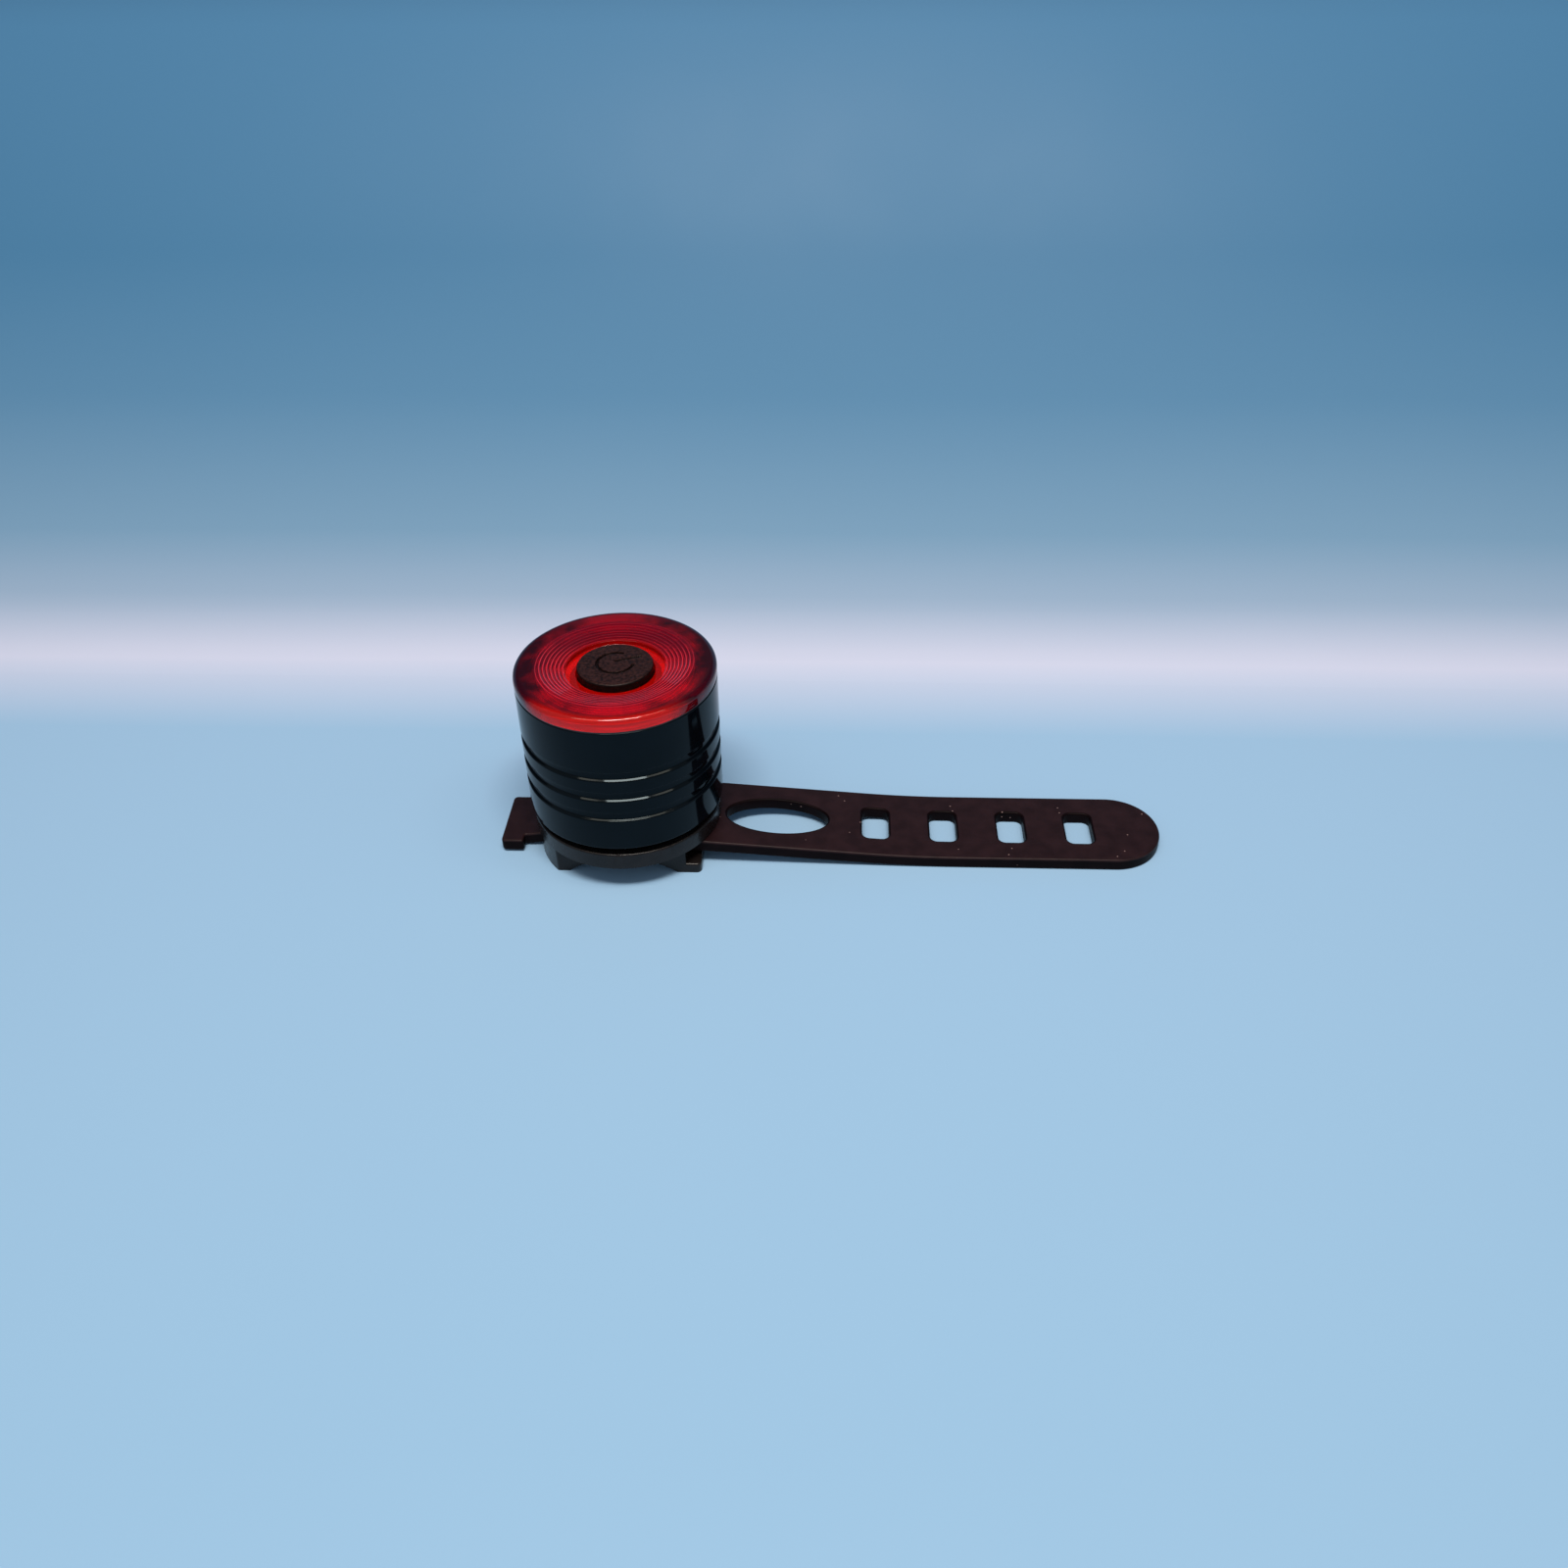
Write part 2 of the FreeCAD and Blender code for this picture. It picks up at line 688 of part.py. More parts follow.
def make_thread_base():
    body = turned_body("thread_base", [
        ("0", "disc_top"),
        ("spigot_radius", "disc_top"),
        ("spigot_radius", "spigot_top"),
        ("spigot_recess_radius", "spigot_top"),
        ("spigot_recess_radius", "spigot_floor_top"),
        ("0", "spigot_floor_top"),
    ])
    holes = sketch_on(body, "XY_Plane", "disc_top")
    draw_circle(holes, "base_screw_circle", "0", "base_screw_hole")
    hole = pocket(body, holes, "base_screw_grip + screw_clearance", upward=True)
    repeat_round(body, hole, "base_screw_count")
    chamfer(body, "spigot_chamfer", is_rim(number("spigot_top"), number("spigot_radius")))


def make_seal_ring():
    body = new_body("seal_ring")
    sketch = sketch_on(body, "XZ_Plane")
    draw_circle(sketch, "seal_circle", "seal_z", "seal_radius")
    revolve(body, sketch)


def make_base_screws():
    body = new_body("base_screws")
    sketch = sketch_on(body, "XZ_Plane")
    axis = "base_screw_circle"
    draw_axis(sketch, axis)
    draw_outline(sketch, [
        (axis, "disc_bottom + base_screw_socket_depth"),
        (f"{axis} + base_screw_socket", "disc_bottom + base_screw_socket_depth"),
        (f"{axis} + base_screw_socket", "disc_bottom"),
        (f"{axis} + base_screw_head_radius", "disc_bottom"),
        (f"{axis} + base_screw_radius", "disc_bottom + base_screw_sink"),
        (f"{axis} + base_screw_radius", "disc_top + base_screw_grip"),
        (axis, "disc_top + base_screw_grip"),
    ])
    screw = revolve(body, sketch, "Axis0")
    repeat_round(body, screw, "base_screw_count")


def make_contact_leaf():
    body = new_body("contact_leaf")
    sketch = sketch_on(body, "XZ_Plane")
    end = "leaf_length / 2"
    heel = "leaf_length / 2 - leaf_foot"
    crest = "leaf_crest / 2"
    low = "spigot_floor_top"
    high = "cell_bottom - contact_gap"
    thick = "leaf_thickness"
    draw_outline(sketch, [
        ("0 - " + end, low),
        (f"0 - ({heel})", low),
        ("0 - " + crest, f"{high} - {thick}"),
        (crest, f"{high} - {thick}"),
        (heel, low),
        (end, low),
        (end, f"{low} + {thick}"),
        (f"{heel} + {thick} / 2", f"{low} + {thick}"),
        (f"{crest} + {thick} / 2", high),
        (f"0 - {crest} - {thick} / 2", high),
        (f"0 - ({heel}) - {thick} / 2", f"{low} + {thick}"),
        ("0 - " + end, f"{low} + {thick}"),
    ])
    pad(body, sketch, "leaf_width", both_ways=True)


# Coin cells and their holder

def make_cell(name, low):
    high = low + " + cell_height"
    turned_body(name, [
        ("0", low),
        ("cell_cap_radius", low),
        ("cell_cap_radius", f"{low} + cell_cap_step"),
        ("cell_radius - cell_edge_chamfer", f"{low} + cell_cap_step"),
        ("cell_radius", f"{low} + cell_cap_step + cell_edge_chamfer"),
        ("cell_radius", f"{high} - cell_edge_chamfer"),
        ("cell_radius - cell_edge_chamfer", high),
        ("0", high),
    ])


def make_cell_holder():
    cup = "cell_radius + cell_clearance"
    web = "board_bottom - holder_web"
    floor = "board_bottom - holder_recess_depth"
    body = turned_body("cell_holder", [
        (cup, "barrel_shoulder"),
        ("holder_radius", "barrel_shoulder"),
        ("holder_radius", "board_bottom"),
        ("holder_recess_outer", "board_bottom"),
        ("holder_recess_outer", floor),
        ("holder_recess_inner", floor),
        ("holder_recess_inner", "board_bottom"),
        ("holder_contact_hole", "board_bottom"),
        ("holder_contact_hole", web),
        (cup, web),
    ])
    holes = sketch_on(body, "XY_Plane", "board_bottom")
    draw_circle(holes, "0", "board_screw_circle", "board_screw_hole")
    hole = pocket(body, holes, "board_screw_grip + screw_clearance")
    repeat_round(body, hole, "board_screw_count")
    slot = sketch_on(body, "XY_Plane", "board_bottom")
    half = "clip_width / 2 + clip_slot_clearance"
    slot_start = "0 - holder_radius - cut_margin"
    draw_rectangle(slot, slot_start, f"0 - ({half})", "0 - clip_slot_floor", half)
    pocket(body, slot, "board_bottom - barrel_shoulder")


def make_ground_clip():
    body = new_body("ground_clip")
    sketch = sketch_on(body, "XY_Plane", "barrel_shoulder")
    half = "clip_width / 2"
    draw_rectangle(sketch, "0 - clip_outer_x", "0 - " + half, "0 - clip_outer_x + clip_thickness", half)
    pad(body, sketch, "board_top - barrel_shoulder")


def make_board_contact():
    tip = "cell_top + contact_gap"
    turned_body("board_contact", [
        ("0", tip),
        ("contact_pin_radius - contact_pin_chamfer", tip),
        ("contact_pin_radius", f"{tip} + contact_pin_chamfer"),
        ("contact_pin_radius", "board_bottom - contact_flange_height"),
        ("contact_flange_radius", "board_bottom - contact_flange_height"),
        ("contact_flange_radius", "board_bottom"),
        ("0", "board_bottom"),
    ])


# Board with what is soldered and screwed to it

def make_led_board():
    body = new_body("led_board")
    disc = sketch_on(body, "XY_Plane", "board_bottom")
    draw_circle(disc, "0", "0", "board_radius")
    pad(body, disc, "board_thickness")
    holes = sketch_on(body, "XY_Plane", "board_top")
    draw_circle(holes, "0", "board_screw_circle", "board_screw_hole")
    hole = pocket(body, holes, "board_thickness")
    repeat_round(body, hole, "board_screw_count")


def make_leds():
    body = new_body("leds")
    sketch = sketch_on(body, "XY_Plane", "board_top")
    half = "led_side / 2"
    draw_rectangle(sketch, f"led_circle - {half}", "0 - " + half, f"led_circle + {half}", half)
    led = pad(body, sketch, "led_height")
    repeat_round(body, led, "led_count")


def make_control_chip():
    body = new_body("control_chip")
    sketch = sketch_on(body, "XY_Plane", "board_bottom - chip_height")
    half = "chip_width / 2"
    draw_rectangle(sketch, "chip_offset", "0 - " + half, "chip_offset + chip_length", half)
    pad(body, sketch, "chip_height")


def make_board_screws():
    body = new_body("board_screws")
    sketch = sketch_on(body, "XZ_Plane")
    axis = "board_screw_circle"
    draw_axis(sketch, axis)
    draw_outline(sketch, [
        (axis, "board_bottom - board_screw_grip"),
        (f"{axis} + board_screw_radius", "board_bottom - board_screw_grip"),
        (f"{axis} + board_screw_radius", "board_top"),
        (f"{axis} + board_screw_head_radius", "board_top"),
        (f"{axis} + board_screw_head_radius", "board_top + board_screw_head_height"),
        (axis, "board_top + board_screw_head_height"),
    ])
    screw = revolve(body, sketch, "Axis0")
    repeat_round(body, screw, "board_screw_count")
    body.Placement.Rotation = FreeCAD.Rotation(FreeCAD.Vector(0, 0, 1), 90)


def make_switch_body():
    body = new_body("switch_body")
    sketch = sketch_on(body, "XY_Plane", "board_top")
    half = "switch_side / 2"
    draw_rectangle(sketch, "0 - " + half, "0 - " + half, half, half)
    pad(body, sketch, "switch_height")
    chamfer(body, "switch_corner", is_post(number(half), number(half)))
    chamfer(body, "switch_corner", is_post(number("0 - " + half), number(half)))
    well = sketch_on(body, "XY_Plane", "switch_top")
    draw_circle(well, "0", "0", "plunger_radius + plunger_clearance")
    pocket(body, well, "switch_well_depth")


def make_switch_plunger():
    body = new_body("switch_plunger")
    sketch = sketch_on(body, "XY_Plane", "plunger_top - plunger_length")
    draw_circle(sketch, "0", "0", "plunger_radius")
    pad(body, sketch, "plunger_length")


def make_reflector():
    body = turned_body("reflector", [
        ("reflector_inner_radius", "board_top"),
        ("holder_radius", "board_top"),
        ("holder_radius", "reflector_top"),
        ("reflector_inner_radius", "reflector_top"),
    ])
    cone = sketch_on(body, "XY_Plane", "board_top")
    draw_circle(cone, "led_circle", "0", "reflector_pocket_radius")
    cup = pocket(body, cone, "reflector_height", upward=True, taper="reflector_pocket_taper")
    repeat_round(body, cup, "led_count")
    recess = sketch_on(body, "XY_Plane", "board_top")
    draw_circle(recess, "0", "board_screw_circle", "board_screw_head_radius + reflector_head_clearance")
    head = pocket(body, recess, "reflector_head_room", upward=True)
    repeat_round(body, head, "board_screw_count")


# Barrel and lens

def make_barrel():
    body = turned_body("barrel", [
        ("barrel_thread_radius", "barrel_bottom"),
        ("barrel_radius", "barrel_bottom"),
        ("barrel_radius", "barrel_top"),
        ("barrel_bore_radius", "barrel_top"),
        ("barrel_bore_radius", "barrel_shoulder"),
        ("barrel_thread_radius", "barrel_shoulder"),
    ])
    for edge in ("barrel_bottom", "barrel_top"):
        chamfer(body, "barrel_chamfer", is_rim(number(edge), number("barrel_radius")))
    profile = sketch_on(body, "XZ_Plane")
    draw_outline(profile, [
        ("barrel_radius + groove_depth", "groove_first_z - groove_width + groove_floor / 2"),
        ("barrel_radius - groove_depth", "groove_first_z - groove_floor / 2"),
        ("barrel_radius - groove_depth", "groove_first_z + groove_floor / 2"),
        ("barrel_radius + groove_depth", "groove_first_z + groove_width - groove_floor / 2"),
    ])
    groove = turn_away(body, profile)
    repeat_along(body, groove, "Z_Axis", "groove_pitch", "groove_count")


def make_lens_seal():
    turned_body("lens_seal", [
        ("gasket_inner_radius", "barrel_top"),
        ("barrel_radius - gasket_inset", "barrel_top"),
        ("barrel_radius - gasket_inset", "lens_bottom"),
        ("gasket_inner_radius", "lens_bottom"),
    ])


def dish_corners():
    """The ringed slope of the lens, from the button's well out to the flat rim."""
    corners = []
    for ring in range(int(number("ridge_count"))):
        radius = f"dish_inner_radius + {ring} * ridge_pitch"
        height = f"lens_top - dish_depth * (1 - {ring} / ridge_count)"
        corners.append((radius, height))
        corners.append((f"{radius} + ridge_pitch / 2", f"{height} + ridge_height"))
    corners.append(("dish_outer_radius", "lens_top"))
    return corners


def make_lens():
    skirt_bottom = "lens_bottom - lens_skirt_depth"
    skirt_inner = "lens_skirt_radius - lens_skirt_wall"
    body = turned_body("lens", [
        ("button_well_radius", "lens_under"),
        ("button_well_radius", "button_well_floor"),
        ("dish_inner_radius", "button_well_floor"),
        *dish_corners(),
        ("barrel_radius", "lens_top"),
        ("barrel_radius", "lens_bottom"),
        ("lens_skirt_radius", "lens_bottom"),
        ("lens_skirt_radius", skirt_bottom),
        (skirt_inner, skirt_bottom),
        (skirt_inner, "lens_under"),
    ])
    fillet(body, "lens_edge_round", is_rim(number("lens_top"), number("barrel_radius")))


def make_power_button():
    body = turned_body("power_button", [
        ("0", "plunger_top"),
        ("button_stem_radius", "plunger_top"),
        ("button_stem_radius", "button_flange_top - button_flange_height"),
        ("button_flange_radius", "button_flange_top - button_flange_height"),
        ("button_flange_radius", "button_flange_top"),
        ("button_radius", "button_flange_top"),
        ("button_radius", "button_top"),
        ("0", "button_top"),
    ])
    fillet(body, "button_edge_round", is_rim(number("button_top"), number("button_radius")))


def write_parts():
    """Check every object, then write each node's solids."""
    doc.recompute()
    for item in doc.Objects:
        if "Invalid" in item.State or "Error" in item.State:
            raise RuntimeError(f"{item.Name} did not compute")
    for node in nodes:
        if node.Shape.isNull() or not node.Shape.isValid():
            raise RuntimeError(f"{node.Label} has no valid shape")
    os.makedirs("parts", exist_ok=True)
    for node in nodes:
        node.Shape.exportStep(f"parts/{node.Label}.step")


make_bracket()
make_strap_anchor()
make_strap_tail()
make_thread_base()
make_seal_ring()
make_base_screws()
make_contact_leaf()
make_cell("cell_lower", "cell_bottom")
make_cell("cell_upper", "cell_middle")
make_cell_holder()
make_ground_clip()
make_board_contact()
make_led_board()
make_leds()
make_control_chip()
make_board_screws()
make_switch_body()
make_switch_plunger()
make_reflector()
make_barrel()
make_lens_seal()
make_lens()
make_power_button()
write_parts()
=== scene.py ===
"""A small round bicycle rear light with its strap, dressed for a studio picture.

Shapes are written in millimetres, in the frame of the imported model, and become metres in new_piece.
"""

import math
import bmesh
import bpy
from mathutils import Matrix, Vector, geometry


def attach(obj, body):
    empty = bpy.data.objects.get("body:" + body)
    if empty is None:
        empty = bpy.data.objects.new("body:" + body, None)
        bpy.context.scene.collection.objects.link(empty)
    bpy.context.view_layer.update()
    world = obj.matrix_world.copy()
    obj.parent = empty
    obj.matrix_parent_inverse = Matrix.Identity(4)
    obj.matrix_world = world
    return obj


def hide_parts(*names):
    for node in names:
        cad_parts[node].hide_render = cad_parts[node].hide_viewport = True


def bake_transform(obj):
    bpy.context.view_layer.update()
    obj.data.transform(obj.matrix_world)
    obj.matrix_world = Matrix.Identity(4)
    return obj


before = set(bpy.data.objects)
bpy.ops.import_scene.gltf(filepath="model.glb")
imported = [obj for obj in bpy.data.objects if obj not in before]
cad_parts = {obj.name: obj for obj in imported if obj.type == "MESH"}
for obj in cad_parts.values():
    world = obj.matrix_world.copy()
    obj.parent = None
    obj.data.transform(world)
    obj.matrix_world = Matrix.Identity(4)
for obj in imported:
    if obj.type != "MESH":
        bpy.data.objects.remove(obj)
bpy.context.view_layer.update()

MM = 0.001
FULL_TURN = 2 * math.pi
SHARP_ANGLE = math.radians(40)

# Camera, fitted to the photograph: a picture 1600 pixels square with a focal length of 1400.5 pixels
PICTURE_SIDE = 1600
FOCAL_PIXELS = 1400.5
SENSOR_WIDTH = 36.0
CAMERA_PLACE = (33.13, -171.81, 142.37)
CAMERA_RIGHT = (0.999188, 0.038586, -0.011578)
CAMERA_UP = (-0.014356, 0.609570, 0.792602)

# Lamp
BARREL_RADIUS = 15.2
BARREL_BOTTOM = 8.85
BARREL_TOP = 30.15
BARREL_BORE = 13.2
BARREL_SHOULDER = 13.45
THREAD_BORE = 12.2
GROOVE_HALF_WIDTH = 0.8
GROOVE_FLOOR_ABOVE = 0.55
GROOVE_DEPTH = 0.45
LENS_BOTTOM = 30.35
LENS_TOP = 32.5
LENS_UNDER = 29.6
LENS_SKIRT_BOTTOM = 28.15
LENS_SKIRT_OUTER = 13.1
LENS_SKIRT_INNER = 11.9
WELL_RADIUS = 5.95
WELL_FLOOR = 31.0
DISH_INNER = 7.5
DISH_OUTER = 11.5
DISH_DEPTH = 0.9
RIDGE_COUNT = 7
RIDGE_PITCH = (DISH_OUTER - DISH_INNER) / RIDGE_COUNT
RIDGE_HEIGHT = 0.13

# Grooves of the barrel, each as the height of its middle and how far its floor reaches below that.
# Their lower walls lean more than their upper ones, and the lowest groove's a little less.
GROOVES = ((14.95, 0.54), (18.65, 0.51), (22.35, 0.51))

# Button and the power sign sunk in its top
BUTTON_RADIUS = 5.75
BUTTON_TOP = 32.2
BUTTON_EDGE_ROUND = 0.35
BUTTON_FLANGE_RADIUS = 7.0
BUTTON_FLANGE_LOW = 28.8
BUTTON_FLANGE_HIGH = 29.5
BUTTON_STEM_RADIUS = 2.0
BUTTON_STEM_END = 27.0
SIGN_CENTRE = Vector((0.0, 0.4))
SIGN_RADIUS = 2.75
SIGN_ARC_START = math.radians(74)
SIGN_ARC_END = math.radians(350)
SIGN_STROKE = (Vector((0.0, 0.9)), Vector((3.5, 2.2)))
SIGN_HALF_WIDTH = 0.19
SIGN_BANK = 0.08
SIGN_DEPTH = 0.3

# Threaded base and seal ring
DISC_TOP = 7.4
SPIGOT_RADIUS = 12.1
SPIGOT_TOP = 13.2
SPIGOT_RECESS = 10.5
SPIGOT_FLOOR = 9.4
SPIGOT_FOOT_CHAMFER = 0.1
SPIGOT_TOP_CHAMFER = 0.45
THREAD_PITCH = 1.0
THREAD_DEPTH = 0.35
THREAD_START = 9.2
THREAD_END = 12.8
THREAD_RUN_IN = 0.6
SEAL_CIRCLE = 13.0
SEAL_HEIGHT = 8.125
SEAL_RADIUS = 0.65
SEAL_FLASH = 0.03

# LEDs on the board
BOARD_TOP = 22.5
LED_CIRCLE = 8.6
LED_COUNT = 6
LED_HALF = 1.1
LED_HEIGHT = 1.2
LED_CORNER = 0.12
LED_BEVEL = 0.08
LED_CUP_RIM = 0.92
LED_CUP_RADIUS = 0.78
LED_CUP_DEPTH = 0.22

# Strap: its plan, and the height of its middle layer along it as (x, height, half length of the bend)
STRAP_HALF_WIDTH = 7.8
STRAP_HALF_THICKNESS = 1.0
STRAP_EDGE_ROUND = 0.3
STRAP_TIP = 84.9
STRAP_TIP_ROUND = 7.7
SHOULDER = -6.0
NECK_HALF = 4.1
HEAD_END = -20.1
HEAD_INNER = -16.6
HEAD_HALF = 5.7
WINDOW_CENTRE = 23.85
WINDOW_REACH = 8.15
WINDOW_HALF_WIDTH = 4.15
HOLE_FIRST = 39.6
HOLE_PITCH = 10.85
HOLE_COUNT = 4
HOLE_HALF_LENGTH = 2.15
HOLE_HALF_WIDTH = 3.7
HOLE_CORNER = 1.2
STRAP_ROUTE = (
    (-20.1, 1.35, 0.0),
    (-16.0, 1.35, 1.2),
    (-2.0, 3.6, 2.4),
    (11.0, 3.6, 3.0),
    (45.0, 1.0, 7.0),
    (84.9, 1.0, 0.0),
)
FLEX_START = 15.2
FLEX_END = 22.0
FLEX_SLICE = 0.4

# Backdrop, in metres. Along its way back and up, a place is its Y plus its Z: the tones of the card,
# painted light and shade, start at CARD_FRONT, and its floor is brightest, a painted glare, at
# CARD_BRIGHTEST.
FLOOR_LEVEL = -0.00002
SWEEP_START = 0.045
SWEEP_RADIUS = 0.14
SWEEP_STEPS = 24
WALL_TOP = 1.2
BACKDROP_REACH = 1.5
CARD_FRONT = -0.15
CARD_BRIGHTEST = 0.054

# Lights, in metres and watts
WORLD_COLOUR = (0.80, 0.90, 1.0, 1.0)
WORLD_STRENGTH = 0.415
LAMP_AIM = (0.003, -0.015, 0.02)

# Finishes: most values of a noise texture lie within NOISE_REACH, and the height of rings is in millimetres
NOISE_REACH = (0.3, 0.7)
LATHE_RINGS = 0.0004

# Dust: cells in a metre, a speck's radius as a share of a cell, and the share of cells left clean
DUST_CELLS = 760
DUST_REACH = 0.085
DUST_RARITY = 0.72
DUST_COLOUR = (0.26, 0.17, 0.16)

# Tones of the lens: each pair is where a zone starts and where it is full, in millimetres. Two of them
# run along Y, the other two out from the axis. The painted highlight lines fade along Y, and a painted glow
# lights the front of the rim. The patches have painted shade at the two sides.
LENS_HIGHLIGHT_FADE = (0.0, 8.0)
LENS_FRONT = (-8.5, -13.5)
LENS_GLOW_EDGE = (13.6, 14.8)
LENS_DARK_EDGE = (13.4, 14.6)
LENS_PATCHES = 6
LENS_PATCH_PHASE = -LENS_PATCHES * math.radians(38)
LENS_SIDE_SHADE_PHASE = -2 * math.radians(8)


# Meshes

def new_piece(name, mesh, material, slot, *nodes):
    """A piece from a bmesh in millimetres, smooth except at its sharp edges, standing for CAD nodes."""
    bmesh.ops.remove_doubles(mesh, verts=mesh.verts, dist=1e-4)
    bmesh.ops.recalc_face_normals(mesh, faces=mesh.faces)
    bmesh.ops.scale(mesh, vec=(MM, MM, MM), verts=mesh.verts)
    data = bpy.data.meshes.new(name)
    mesh.to_mesh(data)
    mesh.free()
    data.polygons.foreach_set("use_smooth", [True] * len(data.polygons))
    data.set_sharp_from_angle(angle=SHARP_ANGLE)
    data.materials.append(material)
    piece = bpy.data.objects.new(name, data)
    bpy.context.scene.collection.objects.link(piece)
    piece.modifiers.new("even_shading", "WEIGHTED_NORMAL").keep_sharp = True
    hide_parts(*nodes)
    return piece


def ride_piece(body, name, mesh, material, slot, *nodes):
    """A piece that moves with one body of the model."""
    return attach(new_piece(name, mesh, material, slot, *nodes), body)


def softened(corners, steps=4):
    """A closed outline from (x, y, radius) corners, with an arc at each corner that has a radius."""
    points = []
    for index, (x, y, radius) in enumerate(corners):
        here = Vector((x, y))
        if not radius:
            points.append(here)
            continue
        before = (Vector(corners[index - 1][:2]) - here).normalized()
        after = (Vector(corners[(index + 1) % len(corners)][:2]) - here).normalized()
        half = before.angle(after) / 2
        centre = here + (before + after).normalized() * (radius / math.sin(half))
        first = here + before * (radius / math.tan(half)) - centre
        last = here + after * (radius / math.tan(half)) - centre
        turn = math.atan2(first.cross(last), first.dot(last))
        for step in range(steps + 1):
            points.append(centre + Matrix.Rotation(turn * step / steps, 2) @ first)
    return points


def turned(outline, segments=192):
    """A body of revolution about Z from a closed outline of (radius, height) points."""
    return swept(lambda angle: outline, segments)


def swept(outline_at, segments):
    """A closed body about Z whose outline of (radius, height) points depends on the angle about Z."""
    mesh = bmesh.new()
    rings = []
    for segment in range(segments):
        angle = FULL_TURN * segment / segments
        rings.append([
            mesh.verts.new((radius * math.cos(angle), radius * math.sin(angle), height))
            for radius, height in outline_at(angle)
        ])
    join_rings(mesh, rings, closed=True)
    return mesh


def join_rings(mesh, rings, closed=False):
    """Skin rows of points of equal length, each row a closed loop, and return the new faces."""
    following = rings[1:] + rings[:1] if closed else rings[1:]
    faces = []
    for ring, after in zip(rings, following):
        count = len(ring)
        for index in range(count):
            corner = (index + 1) % count
            faces.append(mesh.faces.new((ring[index], ring[corner], after[corner], after[index])))
    return faces


# Materials

def new_material(name, roughness, **inputs):
    """A material with one Principled shader, whose even values are set on its own sockets."""
    material = bpy.data.materials.new(name)
    material.use_nodes = True
    sockets = shader_of(material).inputs
    sockets["Roughness"].default_value = roughness
    for socket, value in inputs.items():
        sockets[socket.replace("_", " ")].default_value = value
    return material


def shader_of(material):
    return material.node_tree.nodes["Principled BSDF"]


def join(material, source, target):
    material.node_tree.links.new(source, target)


def add_node(material, kind, **values):
    """A node of a material, with values for its sockets and settings by their names."""
    node = material.node_tree.nodes.new(kind)
    for key, value in values.items():
        if key in node.inputs:
            node.inputs[key].default_value = value
        else:
            setattr(node, key, value)
    return node


def coordinates(material):
    """The X, Y and Z of each point in the piece's own frame, in metres."""
    place = add_node(material, "ShaderNodeTexCoord")
    split = add_node(material, "ShaderNodeSeparateXYZ")
    join(material, place.outputs["Object"], split.inputs["Vector"])
    return split.outputs["X"], split.outputs["Y"], split.outputs["Z"]


def noise(material, scale, detail=3.0, stretch=(1, 1, 1)):
    """Noise in the piece's own coordinates, with its scale in features per metre."""
    place = add_node(material, "ShaderNodeTexCoord")
    mapping = add_node(material, "ShaderNodeMapping", Scale=stretch)
    pattern = add_node(material, "ShaderNodeTexNoise", Scale=scale, Detail=detail)
    join(material, place.outputs["Object"], mapping.inputs["Vector"])
    join(material, mapping.outputs["Vector"], pattern.inputs["Vector"])
    return pattern.outputs["Fac"]


def calculated(material, operation, *values):
    """A math node: each value is a number or the output of another node."""
    node = add_node(material, "ShaderNodeMath", operation=operation)
    for socket, value in zip(node.inputs, values):
        if isinstance(value, (int, float)):
            socket.default_value = value
        else:
            join(material, value, socket)
    return node.outputs["Value"]


def rescaled(material, source, old, new=(0.0, 1.0), kind="LINEAR"):
    """Turn one range of values, given by its two ends, into another. Past the ends they stay even."""
    node = add_node(material, "ShaderNodeMapRange", interpolation_type=kind)
    for socket, value in zip(("From Min", "From Max", "To Min", "To Max"), (*old, *new)):
        node.inputs[socket].default_value = value
    join(material, source, node.inputs["Value"])
    return node.outputs["Result"]


def rising(material, source, low, high):
    """Zero up to the low value, one from the high value, and smooth between them."""
    return rescaled(material, source, (low, high), kind="SMOOTHSTEP")


def uneven(material, scale, low, high):
    """Noise that wanders between two values."""
    return rescaled(material, noise(material, scale), NOISE_REACH, (low, high))


def ramp(material, source, stops):
    """Turn a value into colours: stops are (position, colour) pairs, at least two."""
    node = add_node(material, "ShaderNodeValToRGB")
    elements = node.color_ramp.elements
    while len(elements) < len(stops):
        elements.new(0.5)
    for element, (position, colour) in zip(elements, stops):
        element.position = position
        element.color = (*colour, 1.0)
    join(material, source, node.inputs["Fac"])
    return node.outputs["Color"]


def mixed(material, share, first, second):
    """Blend two colours by a share of the second. Each is a triple or the output of another node."""
    node = add_node(material, "ShaderNodeMix", data_type="RGBA")
    first_colour, second_colour = node.inputs[6], node.inputs[7]
    join(material, share, node.inputs["Factor"])
    for socket, value in ((first_colour, first), (second_colour, second)):
        if isinstance(value, tuple):
            socket.default_value = (*value, 1.0)
        else:
            join(material, value, socket)
    return node.outputs[2]


def colour_of(material):
    """The output that now drives a material's base colour."""
    return shader_of(material).inputs["Base Color"].links[0].from_socket


def bumped(material, source, distance):
    """Raise the surface by a pattern, with the distance in millimetres. Bumps add up."""
    bump = add_node(material, "ShaderNodeBump", Strength=1.0, Distance=distance * MM)
    normal = shader_of(material).inputs["Normal"]
    join(material, source, bump.inputs["Height"])
    if normal.is_linked:
        join(material, normal.links[0].from_socket, bump.inputs["Normal"])
    join(material, bump.outputs["Normal"], normal)


def plain_finish(name, dark, light, roughness, grain, grain_scale, blotch_scale=400, **inputs):
    """A surface with soft blotches between two colours, uneven gloss and a fine grain."""
    material = new_material(name, sum(roughness) / 2, **inputs)
    sockets = shader_of(material).inputs
    blotches = ramp(material, noise(material, blotch_scale), ((0.35, dark), (0.65, light)))
    join(material, blotches, sockets["Base Color"])
    join(material, uneven(material, blotch_scale * 2.5, *roughness), sockets["Roughness"])
    bumped(material, noise(material, grain_scale, detail=2.0), grain)
    return material


